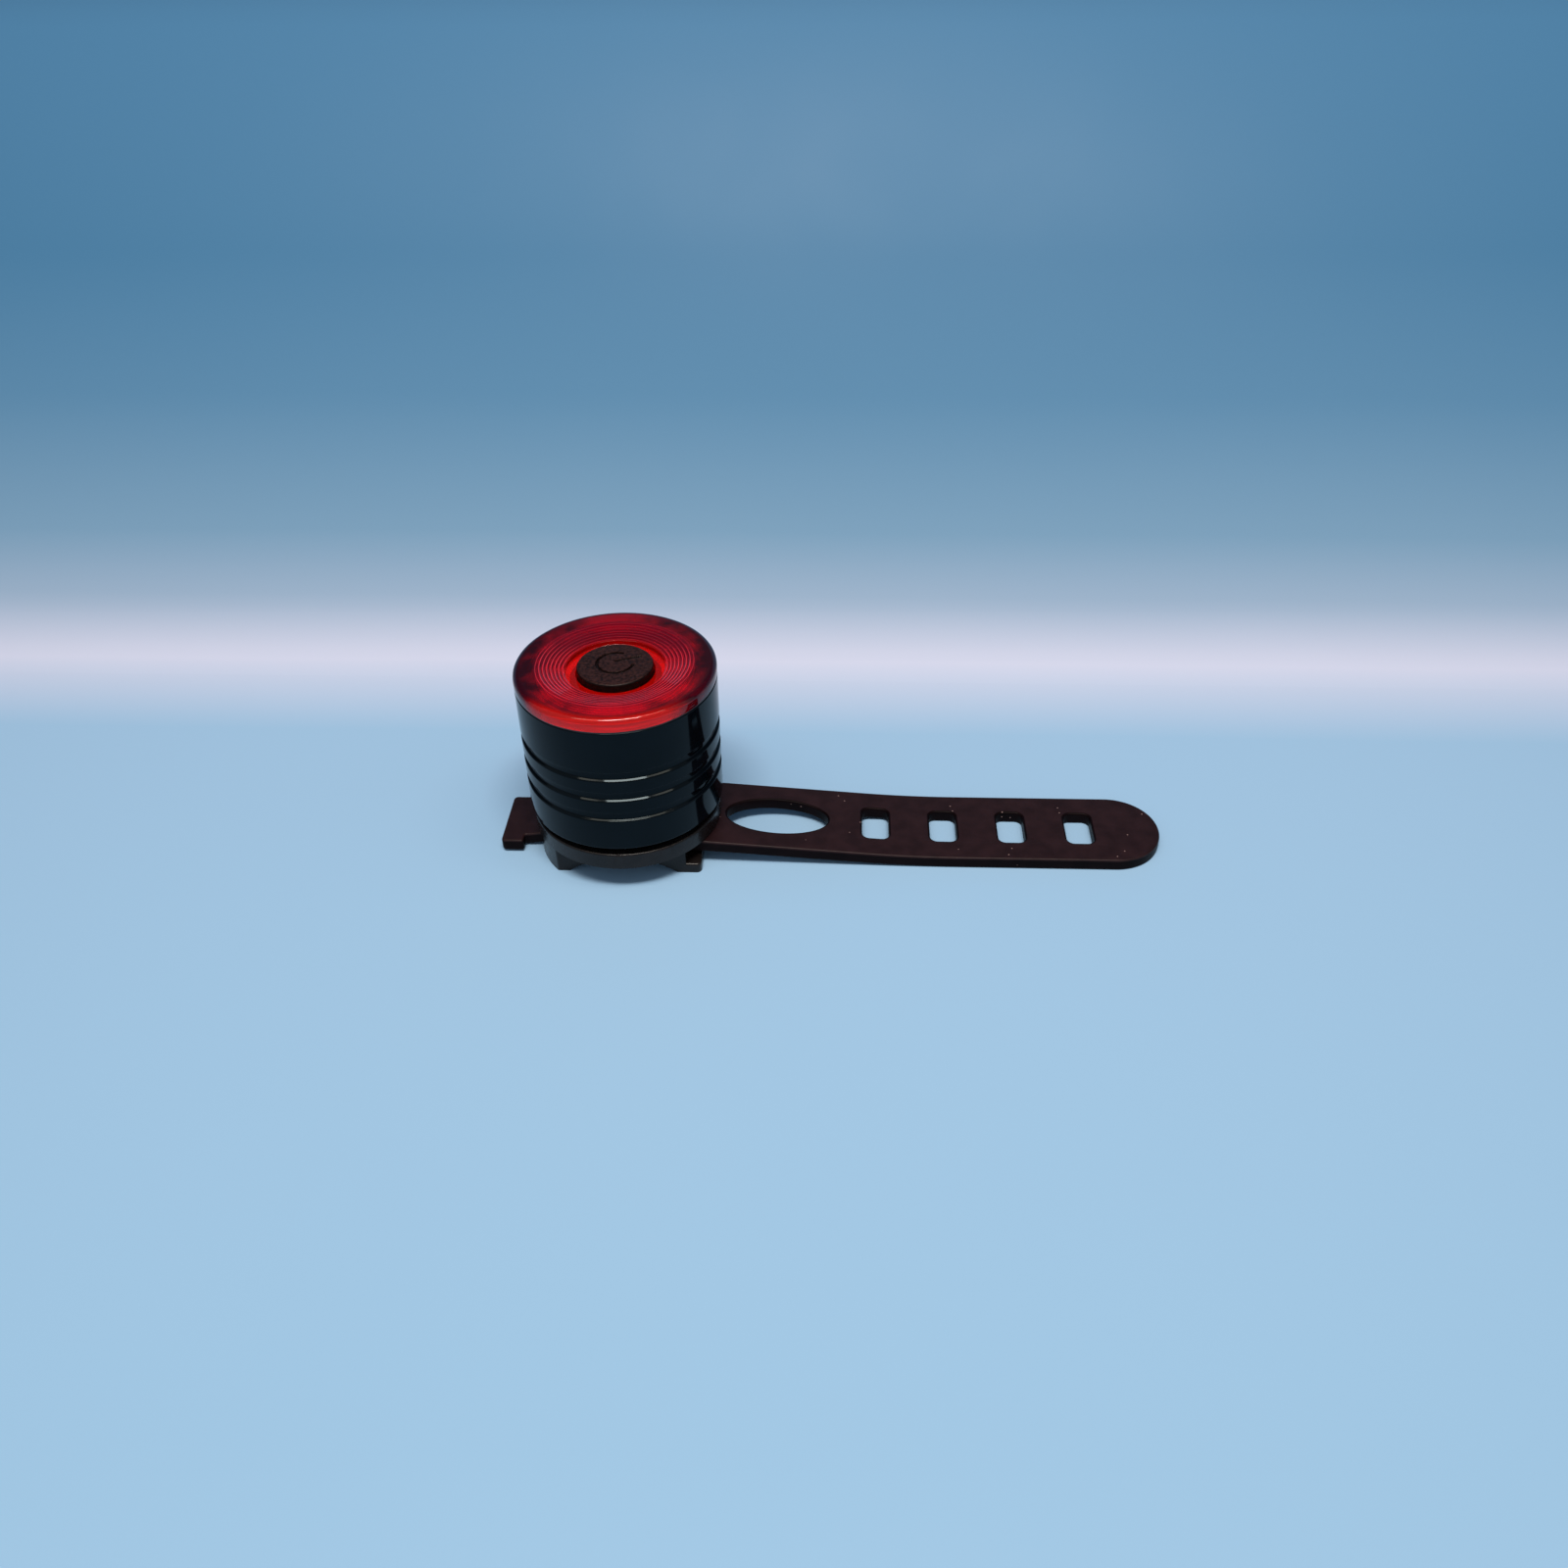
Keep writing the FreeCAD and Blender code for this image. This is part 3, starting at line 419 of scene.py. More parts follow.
def turned_metal(name, dark, light, roughness, **inputs):
    """A turned metal surface, with fine rings left by the lathe."""
    material = plain_finish(
        name, dark, light, roughness, grain=0.0006, grain_scale=3000, blotch_scale=150, **inputs)
    rings = noise(material, 60, detail=2.0, stretch=(1, 1, 120))
    bumped(material, rings, LATHE_RINGS)
    return material


def speckled(material):
    """Scatter small pale specks of dust over a material's colour."""
    place = add_node(material, "ShaderNodeTexCoord")
    cells = add_node(material, "ShaderNodeTexVoronoi", Scale=DUST_CELLS)
    join(material, place.outputs["Object"], cells.inputs["Vector"])
    near = calculated(material, "LESS_THAN", cells.outputs["Distance"], DUST_REACH)
    rare = calculated(material, "GREATER_THAN", cells.outputs["Color"], DUST_RARITY)
    specks = calculated(material, "MULTIPLY", near, rare)
    dusty = mixed(material, specks, colour_of(material), DUST_COLOUR)
    join(material, dusty, shader_of(material).inputs["Base Color"])


def shaded_below(material, height, depth=0.08, darkest=0.2):
    """Darken a material's colour over a depth in millimetres below a height, as in a groove."""
    _, _, level = coordinates(material)
    light = rescaled(material, level, ((height - depth) * MM, height * MM), (darkest, 1.0))
    shaded = mixed(material, light, (0.0, 0.0, 0.0), colour_of(material))
    join(material, shaded, shader_of(material).inputs["Base Color"])


def silicone(name, dark, light, grain, grain_scale, blotch_scale=400, level=0.14):
    """Matt moulded silicone, with a little dust on it."""
    material = plain_finish(name, dark, light, (0.36, 0.48), grain, grain_scale, blotch_scale,
                            Specular_IOR_Level=level)
    speckled(material)
    return material


def ridge_highlight_lines(material, reach, in_rim, along):
    """Painted highlights: pale lines where the crests of the dish's ridges are. They fade towards the far
    side.
    """
    start = math.pi - FULL_TURN * DISH_INNER / RIDGE_PITCH
    phase = calculated(material, "MULTIPLY_ADD", reach, FULL_TURN / RIDGE_PITCH, start)
    crest = calculated(material, "COSINE", phase)
    in_dish = rising(material, reach, DISH_INNER, DISH_INNER + 0.4)
    lines = calculated(material, "MULTIPLY", rising(material, crest, 0.55, 0.95), in_dish)
    lines = calculated(material, "MULTIPLY", lines, calculated(material, "SUBTRACT", 1.0, in_rim))
    far = rising(material, along, *(place * MM for place in LENS_HIGHLIGHT_FADE))
    return calculated(material, "MULTIPLY", lines, calculated(material, "MULTIPLY_ADD", far, -0.7, 1.0))


def rim_patches(material, across, along):
    """The rim's cloudy patches: noise with a slow wave round the rim, and painted shade that darkens the
    two sides and lightens the front and back.
    """
    turn = calculated(material, "ARCTAN2", along, across)
    lobes = calculated(material, "MULTIPLY_ADD", turn, LENS_PATCHES, LENS_PATCH_PHASE)
    sides = calculated(material, "MULTIPLY_ADD", turn, 2, LENS_SIDE_SHADE_PHASE)
    lobes, sides = calculated(material, "COSINE", lobes), calculated(material, "COSINE", sides)
    patches = calculated(material, "MULTIPLY_ADD", lobes, 0.08, noise(material, 260))
    # painted shade darkens the rim at the two sides; the front and back come out lighter
    patches = calculated(material, "MULTIPLY_ADD", sides, -0.18, patches)
    return ramp(material, patches, ((0.30, (0.045, 0.001, 0.009)), (0.74, (0.54, 0.002, 0.020))))


def red_glass():
    """Red acrylic: a painted orange glow round the button, clear magenta in the dish with painted highlight
    lines on its ridges, and cloudy and patchy at the rim, with painted shade at its sides and a painted
    glow at its front.

    For rays from lamps it is a plain red filter, so they reach what is under it.
    """
    material = new_material("lens_red", 0.03, IOR=1.49, Specular_IOR_Level=0.16)
    shader = shader_of(material)
    across, along, _ = coordinates(material)
    squares = calculated(material, "ADD", calculated(material, "POWER", across, 2.0),
                         calculated(material, "POWER", along, 2.0))
    reach = calculated(material, "DIVIDE", calculated(material, "SQRT", squares), MM)
    in_rim = rising(material, reach, DISH_OUTER, DISH_OUTER + 0.9)
    at_edge = rising(material, reach, *LENS_DARK_EDGE)
    # painted glow: the front of the rim is coloured bright orange-red
    front = rising(material, along, *(place * MM for place in LENS_FRONT))
    front_glow = calculated(material, "MULTIPLY", front, rising(material, reach, *LENS_GLOW_EDGE))
    lines = ridge_highlight_lines(material, reach, in_rim, along)
    # painted glow: the band round the button's well is coloured bright orange
    middle = ramp(material, calculated(material, "DIVIDE", reach, BARREL_RADIUS), (
        (0.49, (0.66, 0.005, 0.002)),
        (0.53, (0.28, 0.001, 0.018)),
        (0.80, (0.23, 0.001, 0.028)),
    ))
    # painted highlights: pale lines on the ridge crests
    middle = mixed(material, lines, middle, (0.80, 0.05, 0.09))
    colour = mixed(material, in_rim, middle, rim_patches(material, across, along))
    colour = mixed(material, at_edge, colour, (0.045, 0.001, 0.010))
    colour = mixed(material, front_glow, colour, (0.84, 0.007, 0.002))
    join(material, colour, shader.inputs["Base Color"])
    cloud = calculated(material, "MULTIPLY_ADD", in_rim, 0.11, 0.25)
    cloud = calculated(material, "MULTIPLY_ADD", lines, 0.3, cloud)
    join(material, calculated(material, "SUBTRACT", 1.0, cloud), shader.inputs["Transmission Weight"])
    bumped(material, noise(material, 260, detail=1.0), 0.004)
    ray = add_node(material, "ShaderNodeLightPath")
    seen_through(material, ray.outputs["Is Shadow Ray"], (0.85, 0.08, 0.12))
    return material


def seen_through(material, share, colour):
    """Let a share of the rays straight through a material, filtered by a colour."""
    clear = add_node(material, "ShaderNodeBsdfTransparent", Color=(*colour, 1.0))
    choice = add_node(material, "ShaderNodeMixShader")
    join(material, share, choice.inputs["Fac"])
    join(material, shader_of(material).outputs["BSDF"], choice.inputs[1])
    join(material, clear.outputs["BSDF"], choice.inputs[2])
    join(material, choice.outputs["Shader"], material.node_tree.nodes["Material Output"].inputs["Surface"])


def blue_card(one_sided):
    """Pale blue card whose tone changes along its way back and up: painted light and shade, with a painted
    glare where the floor turns up and painted shade darkening the wall.

    A one-sided card is clear from behind. Any other keeps its brightest tone from CARD_BRIGHTEST on.
    """
    material = new_material("pale_card", 0.5, Specular_IOR_Level=0.2)
    shader = shader_of(material)
    _, back, up = coordinates(material)
    reach = calculated(material, "ADD", back, up)
    reach = calculated(material, "MULTIPLY_ADD", noise(material, 6), 0.004, reach)
    if not one_sided:
        reach = calculated(material, "MINIMUM", reach, CARD_BRIGHTEST)
    # painted light and shade: the floor brightens into a painted glare where it turns up, and the wall
    # above is painted darker, as in shade
    tone = ramp(material, calculated(material, "SUBTRACT", reach, CARD_FRONT), (
        (0.050, (0.29, 0.49, 0.70)),
        (0.180, (0.34, 0.54, 0.76)),
        (0.204, (0.67, 0.70, 0.87)),
        (0.225, (0.33, 0.45, 0.61)),
        (0.250, (0.19, 0.34, 0.50)),
        (0.300, (0.098, 0.240, 0.400)),
        (0.350, (0.062, 0.197, 0.353)),
        (0.420, (0.073, 0.215, 0.376)),
        (0.470, (0.020, 0.050, 0.090)),
    ))
    join(material, tone, shader.inputs["Base Color"])
    join(material, uneven(material, 15, 0.42, 0.5), shader.inputs["Roughness"])
    bumped(material, noise(material, 700, detail=2.0), 0.004)
    if one_sided:
        side = add_node(material, "ShaderNodeNewGeometry")
        seen_through(material, side.outputs["Backfacing"], (1.0, 1.0, 1.0))
    return material


# Pieces

def barrel_outline():
    """The barrel's section, from the thread's bore over the grooved outside to the bore under the lens."""
    outline = [(THREAD_BORE, BARREL_BOTTOM, 0), (BARREL_RADIUS, BARREL_BOTTOM, 0.3)]
    for height, floor_below in GROOVES:
        outline += [
            (BARREL_RADIUS, height - GROOVE_HALF_WIDTH, 0.3),
            (BARREL_RADIUS - GROOVE_DEPTH, height - floor_below, 0.24),
            (BARREL_RADIUS - GROOVE_DEPTH, height + GROOVE_FLOOR_ABOVE, 0.16),
            (BARREL_RADIUS, height + GROOVE_HALF_WIDTH, 0.14),
        ]
    outline += [
        (BARREL_RADIUS, BARREL_TOP, 0.22),
        (BARREL_BORE, BARREL_TOP, 0),
        (BARREL_BORE, BARREL_SHOULDER, 0),
        (THREAD_BORE, BARREL_SHOULDER, 0),
    ]
    return softened(outline)


def lens_outline():
    """The lens's section, from its well over the ridged dish and the rim down to the skirt."""
    outline = [
        (WELL_RADIUS, LENS_UNDER, 0),
        (WELL_RADIUS, WELL_FLOOR, 0.1),
        (DISH_INNER, WELL_FLOOR, 0.1),
    ]
    for ridge in range(RIDGE_COUNT):
        radius = DISH_INNER + ridge * RIDGE_PITCH
        height = LENS_TOP - DISH_DEPTH * (1 - ridge / RIDGE_COUNT)
        outline.append((radius, height, 0.03))
        outline.append((radius + RIDGE_PITCH / 2, height + RIDGE_HEIGHT, 0.08))
    outline += [
        (DISH_OUTER, LENS_TOP, 0.3),
        (BARREL_RADIUS, LENS_TOP, 1.0),
        (BARREL_RADIUS, LENS_BOTTOM, 0.12),
        (LENS_SKIRT_OUTER, LENS_BOTTOM, 0),
        (LENS_SKIRT_OUTER, LENS_SKIRT_BOTTOM, 0.1),
        (LENS_SKIRT_INNER, LENS_SKIRT_BOTTOM, 0.1),
        (LENS_SKIRT_INNER, LENS_UNDER, 0),
    ]
    return softened(outline)


def sign_distance(point):
    """How far a point of the button's top lies from the middle of the power sign's lines."""
    start, end = SIGN_STROKE
    along = max(0.0, min(1.0, (point - start).dot(end - start) / (end - start).length_squared))
    stroke = (point - start.lerp(end, along)).length
    reach = point - SIGN_CENTRE
    angle = math.atan2(reach.y, reach.x) % FULL_TURN
    if SIGN_ARC_START <= angle <= SIGN_ARC_END:
        return min(stroke, abs(reach.length - SIGN_RADIUS))
    ends = [
        SIGN_CENTRE + SIGN_RADIUS * Vector((math.cos(end), math.sin(end)))
        for end in (SIGN_ARC_START, SIGN_ARC_END)
    ]
    return min(stroke, *((point - end).length for end in ends))


def sign_sink(point):
    """How deep the power sign is sunk at a point of the button's top."""
    outside = (sign_distance(point) - SIGN_HALF_WIDTH) / SIGN_BANK
    share = max(0.0, min(1.0, 1 - outside))
    return SIGN_DEPTH * share * share * (3 - 2 * share)


def make_button(material):
    """The silicone button, with fine rings of points in its flat top to carry the sunk power sign."""
    fine_rings = 70
    flat_radius = BUTTON_RADIUS - BUTTON_EDGE_ROUND - 0.1
    top = [(flat_radius * ring / fine_rings, BUTTON_TOP, 0) for ring in range(fine_rings + 1)]
    outline = top + [
        (BUTTON_RADIUS, BUTTON_TOP, BUTTON_EDGE_ROUND),
        (BUTTON_RADIUS, BUTTON_FLANGE_HIGH, 0),
        (BUTTON_FLANGE_RADIUS, BUTTON_FLANGE_HIGH, 0.1),
        (BUTTON_FLANGE_RADIUS, BUTTON_FLANGE_LOW, 0.1),
        (BUTTON_STEM_RADIUS, BUTTON_FLANGE_LOW, 0.2),
        (BUTTON_STEM_RADIUS, BUTTON_STEM_END, 0.1),
        (0, BUTTON_STEM_END, 0),
    ]
    mesh = turned(softened(outline, steps=5), segments=256)
    for vertex in mesh.verts:
        if vertex.co.z > BUTTON_TOP - 1e-4:
            vertex.co.z -= sign_sink(vertex.co.xy)
    ride_piece("button", "button_cap", mesh, material, "button_silicone", "power_button")


def thread_outline(angle):
    """The threaded base's section at one angle about its axis, always with the same number of points."""
    rows = 90
    outline = [
        (0, DISC_TOP),
        (SPIGOT_RADIUS - SPIGOT_FOOT_CHAMFER, DISC_TOP),
        (SPIGOT_RADIUS, DISC_TOP + SPIGOT_FOOT_CHAMFER),
    ]
    for row in range(rows + 1):
        height = THREAD_START + (THREAD_END - THREAD_START) * row / rows
        phase = (height / THREAD_PITCH - angle / FULL_TURN) % 1
        flank = min(1.0, max(0.0, 3 * abs(phase - 0.5) - 0.3))
        fade = min(1.0, (height - THREAD_START) / THREAD_RUN_IN)
        outline.append((SPIGOT_RADIUS - THREAD_DEPTH * flank * fade, height))
    outline += [
        (SPIGOT_RADIUS - SPIGOT_TOP_CHAMFER, SPIGOT_TOP),
        (SPIGOT_RECESS, SPIGOT_TOP),
        (SPIGOT_RECESS, SPIGOT_FLOOR),
        (0, SPIGOT_FLOOR),
    ]
    return outline


def make_thread_base(material):
    mesh = swept(thread_outline, 144)
    ride_piece("base", "threaded_spigot", mesh, material, "machined_aluminium", "thread_base")


def make_seal_ring(material):
    """A rubber ring of round section, with the fine flash line of its mould outside and inside."""
    steps = 48
    outline = []
    for step in range(steps):
        angle = FULL_TURN * step / steps
        at_mould_line = step % (steps // 2) == 0
        radius = SEAL_RADIUS if at_mould_line else SEAL_RADIUS - SEAL_FLASH
        outline.append((SEAL_CIRCLE + radius * math.cos(angle), SEAL_HEIGHT + radius * math.sin(angle)))
    ride_piece("base", "rubber_seal", turned(outline), material, "seal_rubber", "seal_ring")


def square_ring(half, corner, height, count):
    """Points of a rounded square at one height, a quarter of them round each corner, from +X +Y on."""
    outline = softened([(half, half, corner), (-half, half, corner), (-half, -half, corner),
                        (half, -half, corner)], steps=count // 4 - 1)
    return [(x, y, height) for x, y in outline]


def round_ring(radius, height, count):
    """Points of a circle at one height, a quarter of them for each corner of square_ring."""
    ring = []
    for side in range(4):
        for step in range(count // 4):
            angle = math.pi / 2 * (side + step / (count // 4 - 1))
            ring.append((radius * math.cos(angle), radius * math.sin(angle), height))
    return ring


def make_leds(package, resin):
    """Square packages, each with a round cup that is filled with a low dome of clear resin."""
    count = 32
    mesh = bmesh.new()
    for led in range(LED_COUNT):
        turn = Matrix.Rotation(FULL_TURN * led / LED_COUNT, 3, "Z")
        shift = Vector((LED_CIRCLE, 0, BOARD_TOP))
        levels = [
            square_ring(LED_HALF, LED_CORNER, 0.0, count),
            square_ring(LED_HALF, LED_CORNER, LED_HEIGHT - LED_BEVEL, count),
            square_ring(LED_HALF - LED_BEVEL, 0.1, LED_HEIGHT, count),
            round_ring(LED_CUP_RIM, LED_HEIGHT, count),
            round_ring(LED_CUP_RADIUS, LED_HEIGHT - LED_CUP_DEPTH, count),
            round_ring(0.6, LED_HEIGHT - 0.12, count),
            round_ring(0.3, LED_HEIGHT - 0.04, count),
        ]
        rings = [[mesh.verts.new(turn @ (Vector(point) + shift)) for point in level] for level in levels]
        cup_floor = 4
        join_rings(mesh, rings[:cup_floor + 1])
        clear = join_rings(mesh, rings[cup_floor:])
        clear.append(mesh.faces.new(rings[-1]))
        for face in clear:
            face.material_index = 1
        mesh.faces.new(rings[0][::-1])
    piece = ride_piece("lamp", "led_packages", mesh, package, "led_package", "leds")
    piece.data.materials.append(resin)


def strap_middle(x):
    """The height of the strap's middle layer, with a smooth bend at each corner of its route."""
    for (x0, z0, _), (x1, z1, reach), (x2, z2, _) in zip(STRAP_ROUTE, STRAP_ROUTE[1:], STRAP_ROUTE[2:]):
        if abs(x - x1) < reach:
            before, after = (z1 - z0) / (x1 - x0), (z2 - z1) / (x2 - x1)
            entry = x - (x1 - reach)
            return z1 - before * (reach - entry) + (after - before) * entry ** 2 / (4 * reach)
    for (x0, z0, _), (x1, z1, _) in zip(STRAP_ROUTE, STRAP_ROUTE[1:]):
        if x <= x1 + 1e-6:
            return z0 + (z1 - z0) * (x - x0) / (x1 - x0)
    return STRAP_ROUTE[-1][1]


def strap_outlines():
    """The strap's plan: its outer edge counter-clockwise, then its window and ladder holes clockwise."""
    lower = [
        (HEAD_END, -HEAD_HALF, 0.7),
        (HEAD_INNER, -HEAD_HALF, 0.35),
        (HEAD_INNER, -NECK_HALF, 0.35),
        (SHOULDER, -NECK_HALF, 0.5),
        (SHOULDER, -STRAP_HALF_WIDTH, 0.5),
        (STRAP_TIP, -STRAP_HALF_WIDTH, STRAP_TIP_ROUND),
    ]
    upper = [(x, -y, radius) for x, y, radius in reversed(lower)]
    edge = softened(lower + upper, steps=24)
    window = [
        Vector((WINDOW_CENTRE + WINDOW_REACH * math.cos(angle), WINDOW_HALF_WIDTH * math.sin(angle)))
        for angle in (-FULL_TURN * step / 96 for step in range(96))
    ]
    holes = []
    for hole in range(HOLE_COUNT):
        centre = HOLE_FIRST + hole * HOLE_PITCH
        left, right = centre - HOLE_HALF_LENGTH, centre + HOLE_HALF_LENGTH
        holes.append(softened([
            (left, -HOLE_HALF_WIDTH, HOLE_CORNER),
            (left, HOLE_HALF_WIDTH, HOLE_CORNER),
            (right, HOLE_HALF_WIDTH, HOLE_CORNER),
            (right, -HOLE_HALF_WIDTH, HOLE_CORNER),
        ], steps=8))
    return [edge, window] + holes


def drawn_in(outline, distance):
    """An outline moved towards the material, which lies to the left of its direction."""
    moved = []
    for index, here in enumerate(outline):
        before = (here - outline[index - 1]).normalized()
        after = (outline[(index + 1) % len(outline)] - here).normalized()
        inward = Vector((-before.y - after.y, before.x + after.x)).normalized()
        lean = max(0.5, inward.dot(Vector((-before.y, before.x))))
        moved.append(here + inward * (distance / lean))
    return moved


def slice_mesh(mesh, x):
    """Cut every face that crosses one place along X, so that the mesh can bend there."""
    parts = mesh.verts[:] + mesh.edges[:] + mesh.faces[:]
    bmesh.ops.bisect_plane(mesh, geom=parts, dist=1e-5, plane_co=(x, 0, 0), plane_no=(1, 0, 0))


def make_strap(material, painted_shade_material):
    """The whole strap as one moulding, flat with rounded edges and then bent to its route.

    The darker side material, painted shade, covers its sides, all round its holes and the rounding under
    it.
    """
    mesh = bmesh.new()
    outlines = strap_outlines()
    steps = 4
    levels = []
    for step in range(steps + 1):
        angle = math.pi / 2 * step / steps
        inset = STRAP_EDGE_ROUND * (1 - math.cos(angle))
        levels.append((inset, STRAP_HALF_THICKNESS - STRAP_EDGE_ROUND * (1 - math.sin(angle))))
    levels = [(inset, -height) for inset, height in reversed(levels)] + levels
    caps = {-1: [], 1: []}
    for outline in outlines:
        rings = [
            [mesh.verts.new((point.x, point.y, height)) for point in drawn_in(outline, inset)]
            for inset, height in levels
        ]
        for level, pair in enumerate(zip(rings, rings[1:])):
            for face in join_rings(mesh, pair):
                # painted shade: the sides, the hole walls and the rounding underneath take the darker
                # material
                face.material_index = int(level <= steps or outline is not outlines[0])
        caps[-1].append(rings[0])
        caps[1].append(rings[-1])
    for side, loops in caps.items():
        flat = [vertex for loop in loops for vertex in loop]
        loops = [[vertex.co.to_2d().to_3d() for vertex in loop] for loop in loops]
        for triangle in geometry.tessellate_polygon(loops):
            mesh.faces.new([flat[index] for index in triangle][::side])
    cut = FLEX_START
    while cut < FLEX_END:
        slice_mesh(mesh, cut)
        cut += FLEX_SLICE
    for x, _, reach in STRAP_ROUTE[1:-1]:
        for step in range(9):
            slice_mesh(mesh, x + reach * (step / 4 - 1))
    for vertex in mesh.verts:
        vertex.co.z += strap_middle(vertex.co.x)
    piece = new_piece("strap_moulding", mesh, material, "strap_silicone", "strap_anchor", "strap_tail")
    piece.data.materials.append(painted_shade_material)
    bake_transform(piece)


def dress(material, *nodes):
    """Give CAD nodes a material."""
    for name in nodes:
        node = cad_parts[name]
        node.data.materials.clear()
        node.data.materials.append(material)


def soften_edges(name, width):
    """Round the sharp edges of a CAD node a little, for the thin light lines that moulded edges show."""
    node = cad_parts[name]
    node.modifiers.new("joined", "WELD").merge_threshold = 1e-6
    bevel = node.modifiers.new("edges", "BEVEL")
    bevel.width = width * MM
    bevel.segments = 3
    bevel.angle_limit = SHARP_ANGLE
    bevel.harden_normals = True
    node.modifiers.new("even_shading", "WEIGHTED_NORMAL").keep_sharp = True


# Studio

def make_camera():
    """The camera that took the photograph."""
    data = bpy.data.cameras.new("camera")
    data.sensor_width = SENSOR_WIDTH
    data.lens = FOCAL_PIXELS * SENSOR_WIDTH / PICTURE_SIDE
    data.clip_start = 0.01
    camera = bpy.data.objects.new("camera", data)
    right, up = Vector(CAMERA_RIGHT), Vector(CAMERA_UP)
    axes = Matrix((right, up, right.cross(up))).transposed()
    camera.matrix_world = Matrix.Translation(Vector(CAMERA_PLACE) * MM) @ axes.to_4x4()
    bpy.context.scene.collection.objects.link(camera)
    bpy.context.scene.camera = camera


def make_lamp(name, place, size, power, colour):
    """A rectangular lamp that points at LAMP_AIM."""
    data = bpy.data.lights.new(name, "AREA")
    data.shape = "RECTANGLE"
    data.size, data.size_y = size
    data.energy = power
    data.color = colour
    lamp = bpy.data.objects.new(name, data)
    lamp.location = place
    lamp.rotation_euler = (Vector(LAMP_AIM) - Vector(place)).to_track_quat("-Z", "Y").to_euler()
    bpy.context.scene.collection.objects.link(lamp)


def stage_sheet(name, rows, material):
    """A sheet of the set, from rows of points that run across it."""
    mesh = bmesh.new()
    rows = [[mesh.verts.new(point) for point in row] for row in rows]
    for row, after in zip(rows, rows[1:]):
        mesh.faces.new((row[0], row[1], after[1], after[0]))
    data = bpy.data.meshes.new(name)
    mesh.to_mesh(data)
    mesh.free()
    data.polygons.foreach_set("use_smooth", [True] * len(data.polygons))
    data.materials.append(material)
    sheet = bpy.data.objects.new(name, data)
    bpy.context.scene.collection.objects.link(sheet)


def make_backdrop():
    """Pale blue card: a floor under the light, and a sheet that sweeps up from it into a wall behind."""
    reach = BACKDROP_REACH
    floor = [[(-reach, y, FLOOR_LEVEL), (reach, y, FLOOR_LEVEL)] for y in (-reach, reach)]
    stage_sheet("floor", floor, blue_card(one_sided=False))
    profile = []
    for step in range(SWEEP_STEPS + 1):
        angle = math.pi / 2 * step / SWEEP_STEPS
        height = FLOOR_LEVEL + SWEEP_RADIUS * (1 - math.cos(angle))
        profile.append((SWEEP_START + SWEEP_RADIUS * math.sin(angle), height))
    profile.append((SWEEP_START + SWEEP_RADIUS, WALL_TOP))
    stage_sheet("sweep", [[(-reach, y, z), (reach, y, z)] for y, z in profile], blue_card(one_sided=True))


def make_world():
    """Even soft light from all round."""
    world = bpy.data.worlds.new("studio")
    bpy.context.scene.world = world
    world.use_nodes = True
    background = world.node_tree.nodes["Background"]
    background.inputs["Color"].default_value = WORLD_COLOUR
    background.inputs["Strength"].default_value = WORLD_STRENGTH


bpy.context.scene.view_settings.view_transform = "Standard"
make_camera()
make_backdrop()
make_world()
make_lamp("key", place=(0.0335, -0.221, 0.56), size=(0.30, 0.085), power=2.7, colour=(1.0, 0.93, 0.85))
make_lamp("panel", place=(0.024, -0.146, 0.56), size=(0.70, 0.07), power=1.0, colour=(1.0, 0.81, 0.65))

anodised = turned_metal(
    "anodised_black", (0.0008, 0.0016, 0.0026), (0.0014, 0.0026, 0.0042), (0.06, 0.10),
    Specular_IOR_Level=0.13, Specular_Tint=(0.72, 0.92, 1.0, 1.0))
aluminium = turned_metal(
    "machined_aluminium", (0.55, 0.56, 0.58), (0.66, 0.67, 0.69), (0.25, 0.35), Metallic=1.0)
bracket_plastic = plain_finish(
    "bracket_plastic", (0.006, 0.0045, 0.0045), (0.010, 0.0075, 0.0075), (0.22, 0.30),
    grain=0.002, grain_scale=4200, Specular_IOR_Level=0.26)
strap_silicone = silicone(
    "strap_silicone", (0.014, 0.0055, 0.0065), (0.021, 0.0085, 0.0100),
    grain=0.006, grain_scale=5200)
# painted shade: a darker copy of the strap's silicone, for its sides and the walls of its holes
strap_side_painted_shade = silicone(
    "strap_side_painted_shade", (0.0035, 0.0014, 0.0018), (0.0060, 0.0024, 0.0030),
    grain=0.006, grain_scale=5200, level=0.05)
button_silicone = silicone(
    "button_silicone", (0.008, 0.0030, 0.0026), (0.036, 0.0132, 0.0114),
    grain=0.05, grain_scale=2600, blotch_scale=2400)
shaded_below(button_silicone, BUTTON_TOP - 0.06)
seal_rubber = plain_finish(
    "seal_rubber", (0.006, 0.006, 0.006), (0.010, 0.010, 0.010), (0.4, 0.5),
    grain=0.002, grain_scale=4000)
holder_plastic = plain_finish(
    "holder_plastic", (0.022, 0.022, 0.024), (0.030, 0.030, 0.032), (0.35, 0.45),
    grain=0.004, grain_scale=4000)
switch_plastic = plain_finish(
    "switch_plastic", (0.030, 0.030, 0.030), (0.045, 0.045, 0.045), (0.4, 0.5),
    grain=0.004, grain_scale=4000)
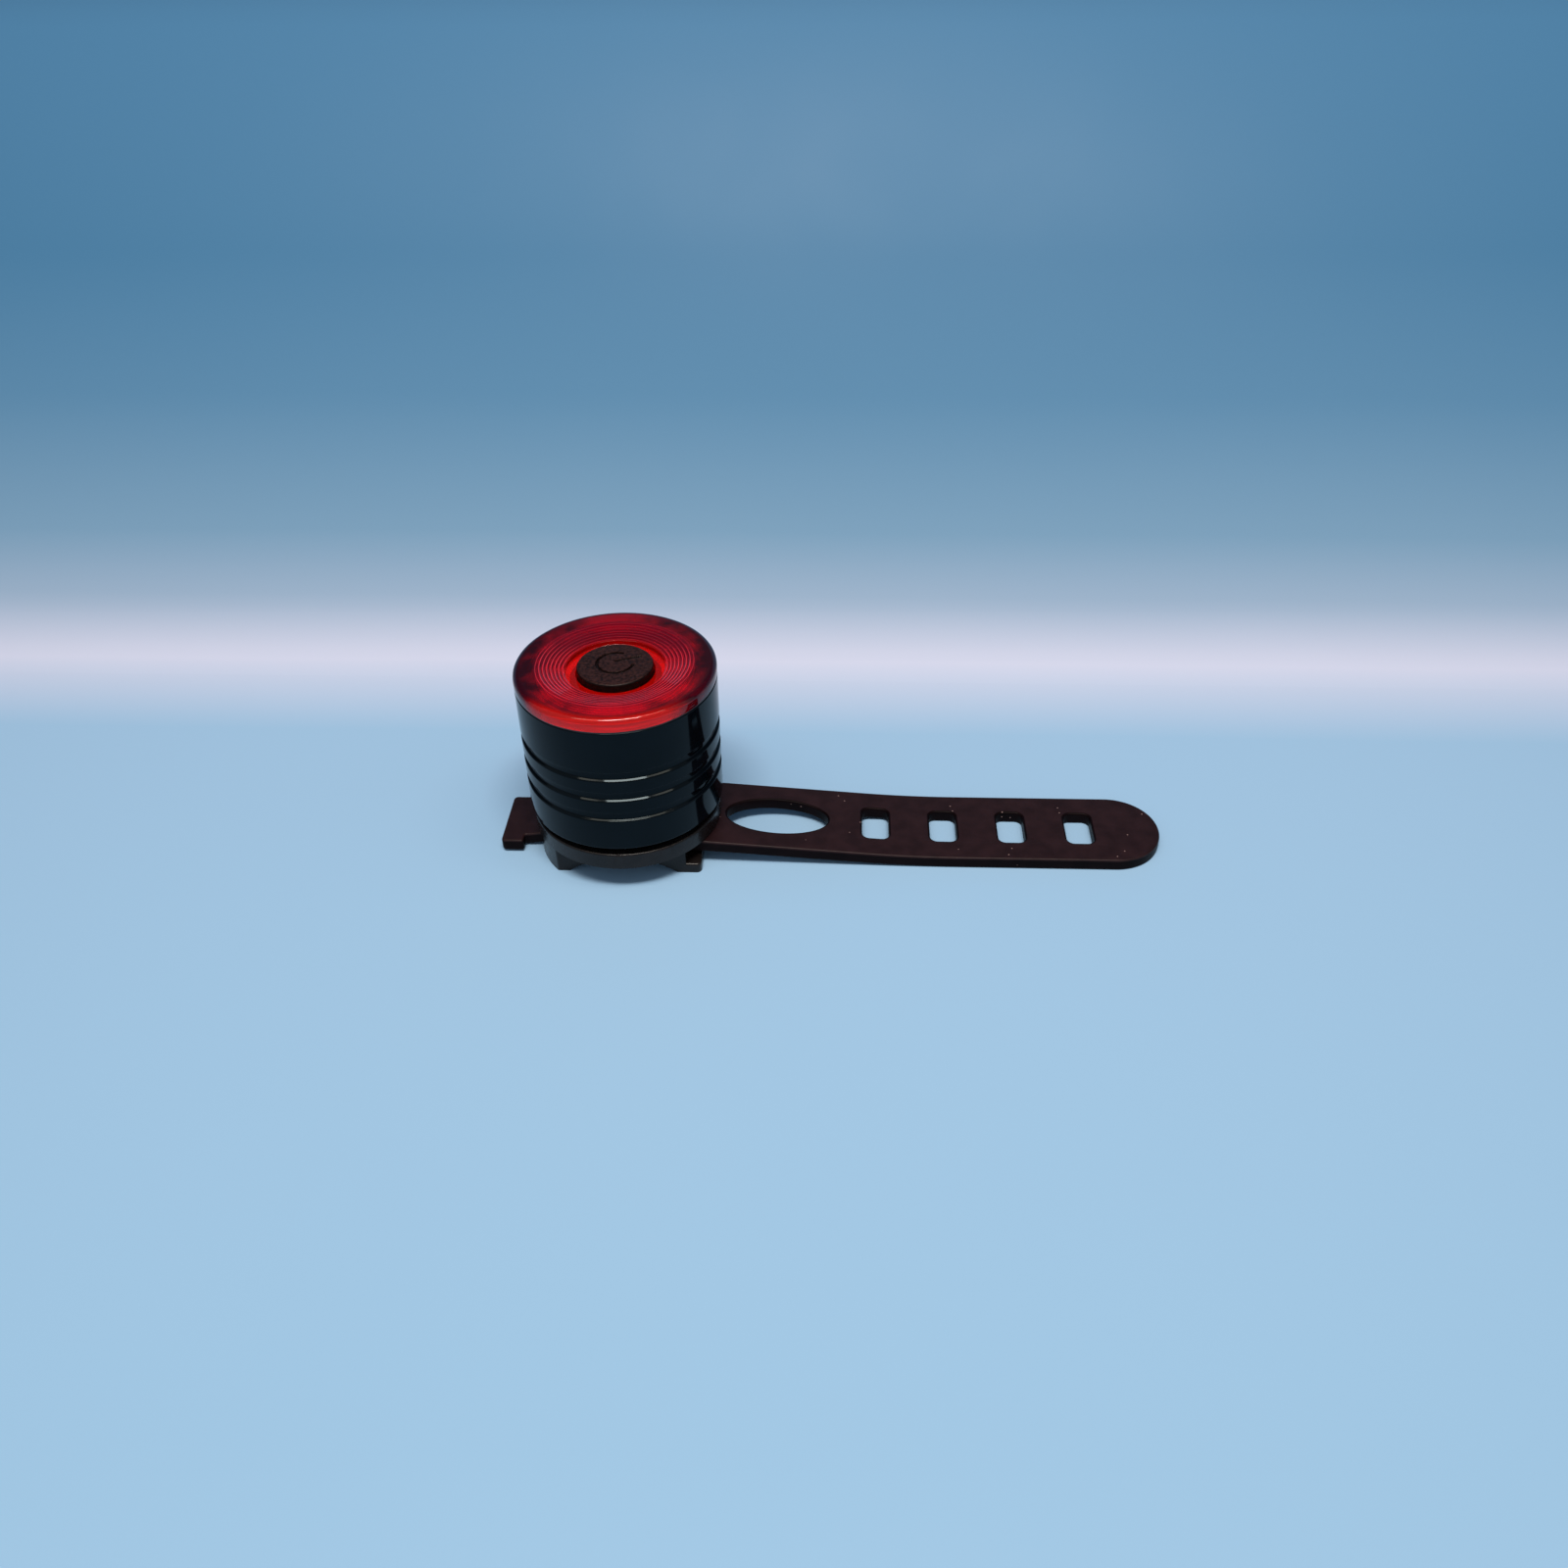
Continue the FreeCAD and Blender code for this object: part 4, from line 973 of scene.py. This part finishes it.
chip_epoxy = plain_finish(
    "chip_epoxy", (0.015, 0.015, 0.016), (0.024, 0.024, 0.024), (0.45, 0.55),
    grain=0.004, grain_scale=6000)
reflector_white = plain_finish(
    "reflector_white", (0.78, 0.78, 0.78), (0.86, 0.86, 0.86), (0.18, 0.25),
    grain=0.002, grain_scale=3000)
board_white = plain_finish(
    "board_white", (0.78, 0.79, 0.77), (0.86, 0.87, 0.85), (0.25, 0.35),
    grain=0.003, grain_scale=5000)
led_package = plain_finish(
    "led_package", (0.80, 0.79, 0.76), (0.88, 0.87, 0.84), (0.3, 0.4),
    grain=0.003, grain_scale=5000)
led_resin = plain_finish(
    "led_resin", (0.80, 0.55, 0.14), (0.88, 0.63, 0.20), (0.08, 0.12),
    grain=0.001, grain_scale=5000)
brass = plain_finish(
    "contact_brass", (0.62, 0.46, 0.18), (0.74, 0.57, 0.26), (0.22, 0.32),
    grain=0.002, grain_scale=3000, Metallic=1.0)
steel = turned_metal(
    "screw_steel", (0.50, 0.50, 0.52), (0.60, 0.60, 0.62), (0.25, 0.35), Metallic=1.0)
nickel = plain_finish(
    "cell_steel", (0.60, 0.59, 0.57), (0.70, 0.69, 0.67), (0.2, 0.3),
    grain=0.001, grain_scale=2500, Metallic=1.0)

ride_piece("lamp", "grooved_barrel", turned(barrel_outline(), 256), anodised, "anodised_black", "barrel")
ride_piece("lamp", "ringed_lens", turned(lens_outline(), 256), red_glass(), "lens_red", "lens")
make_button(button_silicone)
make_thread_base(aluminium)
make_seal_ring(seal_rubber)
make_leds(led_package, led_resin)
make_strap(strap_silicone, strap_side_painted_shade)

dress(bracket_plastic, "bracket")
soften_edges("bracket", 0.15)
dress(steel, "base_screws", "board_screws")
dress(brass, "contact_leaf", "ground_clip", "board_contact")
dress(nickel, "cell_lower", "cell_upper")
dress(holder_plastic, "cell_holder")
dress(board_white, "led_board")
dress(chip_epoxy, "control_chip")
dress(switch_plastic, "switch_body", "switch_plunger")
dress(reflector_white, "reflector")
dress(seal_rubber, "lens_seal")
